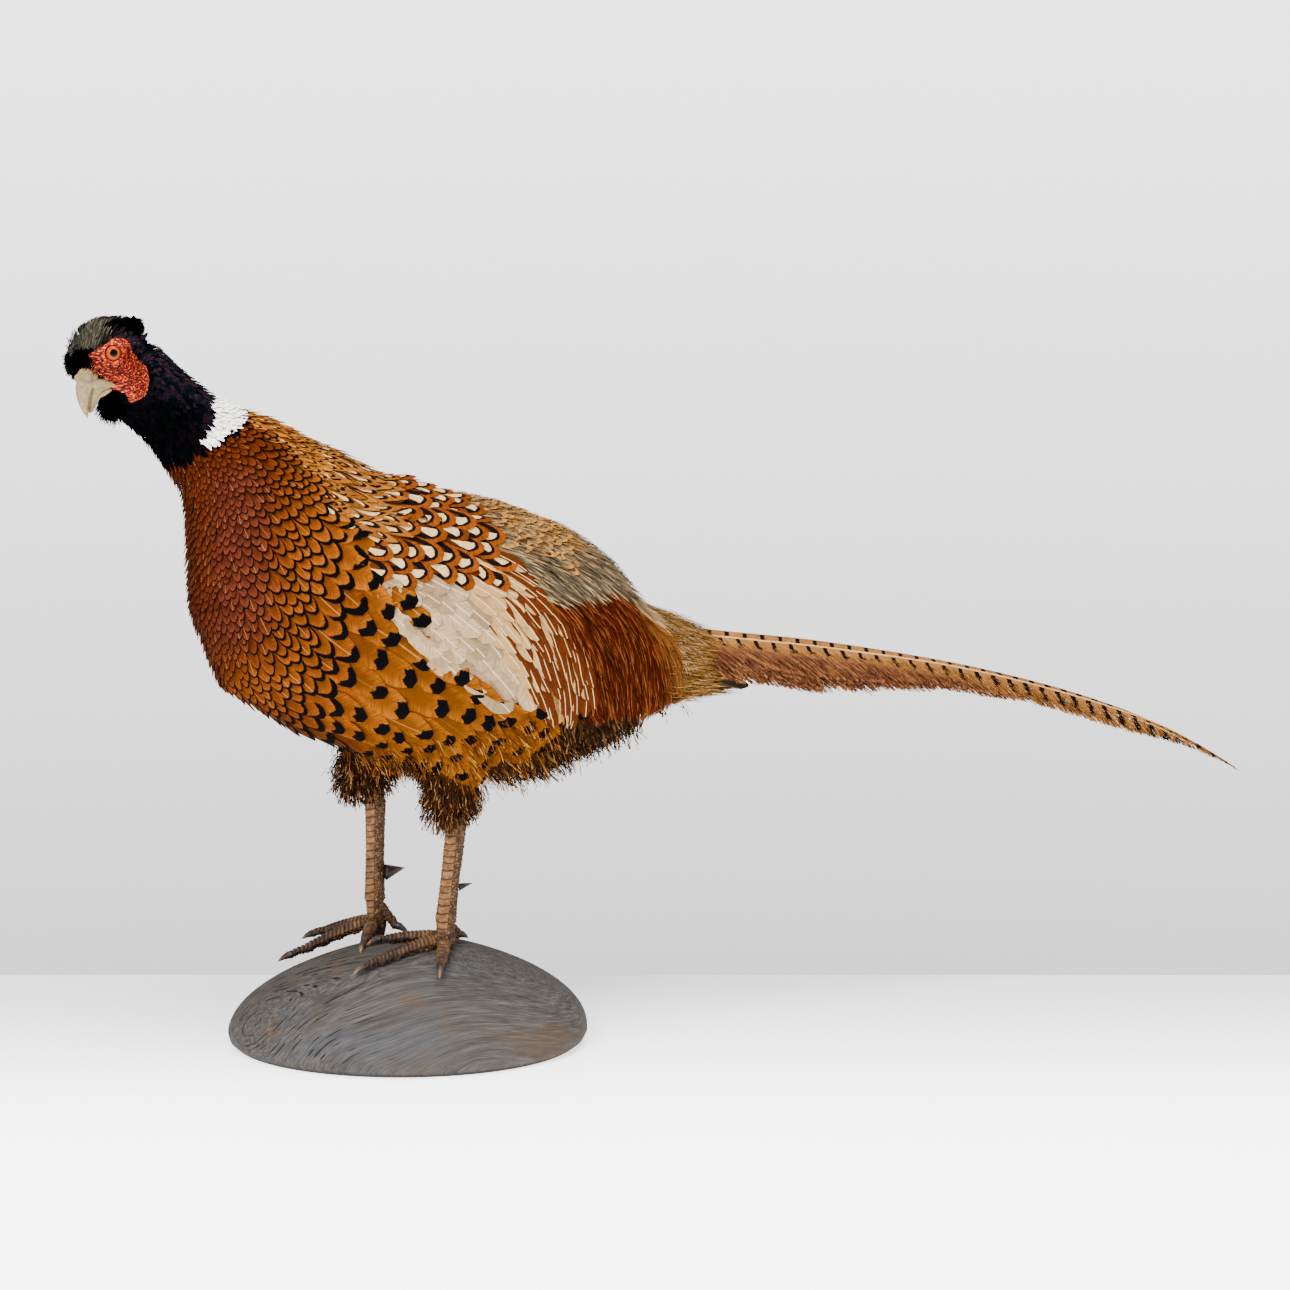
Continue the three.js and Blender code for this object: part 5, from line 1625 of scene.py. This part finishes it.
def makeLegs():
    paint = legPaint()
    for name, leg in legs.items():
        hock, ankle, ball = (np.array(leg[part], float) for part in ("hock", "ankle", "ball"))
        mesh = legMesh(name, hock, ankle, ball)
        points, normals = readPoints(mesh), readNormals(mesh)
        place = toLocal(points, birdFrame)
        axis = unit(ankle - hock)
        along = (place - hock) @ axis
        off = place - hock - along[:, None] * axis
        heading = math.radians(leg["heading"])
        ahead = np.array([-math.cos(heading), -math.sin(heading), 0])
        angle = np.abs(np.degrees(np.arctan2(off @ np.cross(axis, ahead), off @ ahead)))
        front = 1 - smooth(angle, 52, 66)
        slant = along + 0.02 * angle + 0.8 * np.sin(along * 0.23)
        turn = (slant / scales["scute"]) % 1
        scute = (1 - smooth(np.abs(turn - 0.5) * 2, 0.7, 0.93)) * smooth(np.abs(angle - 59), 2, 8)
        tilted = turn * 0.12 * front
        beads = np.array([noise.voronoi(Vector(point) / scales["bead"])[0][:2] for point in place.tolist()])
        bead = smooth(beads[:, 1] - beads[:, 0], 0.05, 0.42)
        flat = np.hypot(place[:, 0] - ball[0], place[:, 1] - ball[1])
        top = smooth(turned(normals, birdFrame.inverted())[:, 2], -0.25, 0.2)
        ring = 1 - smooth(np.abs((flat / scales["ring"]) % 1 - 0.5) * 2, 0.5, 0.95)
        onToe = smooth(flat, 8, 12)
        onFoot = smooth(ball[2] + 9 - place[:, 2], 0, 5)
        shankPlate = scute * front + bead * (1 - front)
        toePlate = (ring * onToe + bead * (1 - onToe)) * top + bead * (1 - top)
        plate = shankPlate + (toePlate - shankPlate) * np.maximum(onFoot, onToe)
        pads = np.sin(flat * math.tau / 11) * 0.5 * (1 - top) * onToe
        groove = scales["groove"] * (1 + 0.8 * onToe)
        points = points + normals * ((plate - 0.6) * groove + tilted * (1 - onFoot) + pads)[:, None] * mm
        writePoints(mesh, points)
        addAttribute(mesh, "plate", plate)
        age = 0.45 * smooth(angle, 70, 150) + 0.35 * onFoot + 0.65 * smooth(flat, 10, 34)
        addAttribute(mesh, "age", np.clip(age, 0, 1))
        addPiece(mesh.name, mesh, paint, ["shank_" + name, "foot_" + name])


def clawPaint(name, tip):
    paint = Paint(name, 0.4, 0.15)
    along = paint.number("along")
    streaks = paint.noise(paint.place(), 500, 3)
    stops = [(0.3, (0.01, 0.007, 0.005)), (0.7, (0.04, 0.025, 0.016)), (1.0, tip)]
    ground = paint.ramp(along + (streaks - 0.5) * 0.5, stops)
    return paint.wear(ground, streaks, 0.4, 0.0002)


def makeSpur(name, paint):  # a cone along its solid's own line
    place = toLocal(readPoints(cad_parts["spur_" + name].data), birdFrame)
    x = place[:, 0]
    root, tip = place[x < x.min() + 1].mean(0), place[x.argmax()]
    angle = roundAngles(18)
    circle = np.stack([np.zeros(len(angle)), np.cos(angle), np.sin(angle)], 1)
    rings = []
    for share in np.linspace(0, 1, 14):
        middle = root + (tip + spurs["past"] - root) * share
        radius = max(spurs[name] * (1 - share), 0.1)
        rings.append(toWorld(middle + circle * radius, birdFrame))
    mesh = meshFromBmesh("spur" + name.title(), loft(rings))
    x = toLocal(readPoints(mesh), birdFrame)[:, 0]
    addAttribute(mesh, "along", (x - x.min()) / (x.max() - x.min()))
    addPiece(mesh.name, mesh, paint, ["spur_" + name])


def makeClaws():
    paint = clawPaint("clawPaint", (0.2, 0.11, 0.045))
    spurPaint = clawPaint("spurPaint", (0.26, 0.1, 0.03))
    for name, leg in legs.items():
        ball = np.array(leg["ball"], float)
        for toe in toes:
            title = "claw" + toe.title() + name.title()
            mesh = remeshed(title, copyNodes([f"claw_{toe}_{name}"], 0.55 * mm), 0.4, 3)
            place = toLocal(readPoints(mesh), birdFrame)
            flat = np.hypot(place[:, 0] - ball[0], place[:, 1] - ball[1])
            addAttribute(mesh, "along", (flat - flat.min()) / (flat.max() - flat.min()))
            addPiece(title, mesh, paint, [f"claw_{toe}_{name}"])
        makeSpur(name, spurPaint)


# The wooden dome: its size, and the tree's own axis, which comes out at the left.
dome = {
    "length": 246, "width": 166, "height": 76.5, "rim": 9, "foot": 0.94, "lean": 9, "fullness": 1.6,
    "around": 300, "rings": 110, "pith": (-96, -38, 27), "aim": (1, 0.15, 0.17), "ringStep": 3.2,
}


def domePaint():
    paint = Paint("domePaint", 0.8, 0.12)
    ring, run, turn = paint.number("ring"), paint.number("run"), paint.number("turn")
    line = 1 - paint.step(abs(paint.sum("FRACT", ring) - 0.5), 0.05, 0.16)
    breaks = paint.vector(paint.sum("FLOOR", ring) * 7.3, turn * ring * 0.07, run * 0.03)
    crack = line * paint.step(paint.noise(breaks, 1, 1), 0.5, 0.6) * paint.number("crack")
    fine = paint.noise(paint.vector(ring * 5, run * 0.05, turn * 1.2), 1, 4, 0.65)
    band = paint.noise(paint.vector(ring * 1.3, run * 0.008, turn * 0.7), 1, 3)
    blotch = paint.noise(paint.stretched((14, 22, 30)), 1, 4, 0.6)
    ground = paint.ramp(fine * 0.6 + band * 0.4, [(0.34, (0.016, 0.014, 0.012)), (0.5, (0.04, 0.035, 0.031)),
                                                   (0.66, (0.078, 0.071, 0.063))])
    brown = paint.step(blotch, 0.5, 0.68)
    ground = paint.mix(brown * 0.5, ground, (0.06, 0.034, 0.018))
    blue = paint.step(paint.noise(paint.stretched((9, 12, 20), (0, 0, 1)), 1, 3), 0.5, 0.65)
    ground = paint.mix(blue * 0.35, ground, (0.04, 0.046, 0.056))
    ground = paint.mix(crack, ground, (0.003, 0.0026, 0.0022))
    # painted shadow: the dome darker in its lowest few millimetres, where it meets the table
    ground = paint.mix(paint.number("rim"), ground, (0.012, 0.011, 0.01))
    return paint.wear(ground, fine * 0.7 + band * 0.3 - crack * 0.7, 0.6, 0.0006)


def makeDome():
    foot, rings = dome["foot"], dome["rings"]
    angle = roundAngles(dome["around"])
    stack = [(foot * 0.4, 0.0), (foot * 0.85, 0.0), (foot, 0.0), (foot * 1.012, 0.8), (0.985, 4.2)]
    for i in range(rings):
        climb = (i / (rings - 1)) * math.pi / 2
        level = dome["rim"] + (dome["height"] - dome["rim"]) * math.sin(climb)
        stack.append((max(math.cos(climb), 0.0) ** dome["fullness"], level))
    circles = []
    for share, level in stack:
        share = max(share, 0.004)
        x = dome["length"] / 2 * share * np.cos(angle) + dome["lean"] * level / dome["height"]
        y = dome["width"] / 2 * share * np.sin(angle)
        circles.append(np.stack([x, y, np.full(len(angle), level)], 1) * mm)
    mesh = meshFromBmesh("dome", loft(circles))
    points, normals = readPoints(mesh), readNormals(mesh)
    place = points / mm
    axis = unit(np.array(dome["aim"], float))
    fromPith = place - np.array(dome["pith"], float)
    run = fromPith @ axis
    off = fromPith - run[:, None] * axis
    wobble = np.array([noise.noise(Vector(point) * 0.018) for point in place.tolist()])
    reach = np.linalg.norm(off, axis=1) * (1 + 0.002 * run) + 4 * wobble
    ring = reach / dome["ringStep"]
    turn = np.arctan2(off[:, 1], off[:, 2])
    late = 0.5 + 0.5 * np.sin(ring * math.tau)
    patches = np.array([noise.noise(Vector(point) * 0.05 + Vector((0, 0, 7))) for point in place.tolist()])
    left = 1 - smooth(place[:, 0], -60, 10)
    crack = np.clip(left + 0.5 * smooth(patches, 0.1, 0.4), 0, 1) * smooth(place[:, 2], 6, 12)
    writePoints(mesh, points - normals * (0.22 * late * smooth(place[:, 2], 2, 9))[:, None] * mm)
    addAttribute(mesh, "ring", ring)
    addAttribute(mesh, "run", run)
    addAttribute(mesh, "turn", turn * 6)
    addAttribute(mesh, "crack", crack)
    # rim marks the painted contact shadow round the dome's foot
    addAttribute(mesh, "rim", 1 - smooth(place[:, 2], 1.5, 4.5))
    addPiece("dome", mesh, domePaint(), ["base_dome"])


makeContour()
makeNeck()
makeCrown()
makeTufts()
makeCollar()
makeMantle()
makeScapulars()
makeWings()
makeRump()
makeTailRoot()
makeFluff()

makeEyes()
makeFaces()
makeBill("billUpper", "bill_upper", bill["upper"])
makeBill("billLower", "bill_lower", bill["lower"])
makeGape()
print("head ready")
makeTail()
print("tail ready")
makeLegs()
makeClaws()
print("legs ready")
makeDome()
print("base ready")
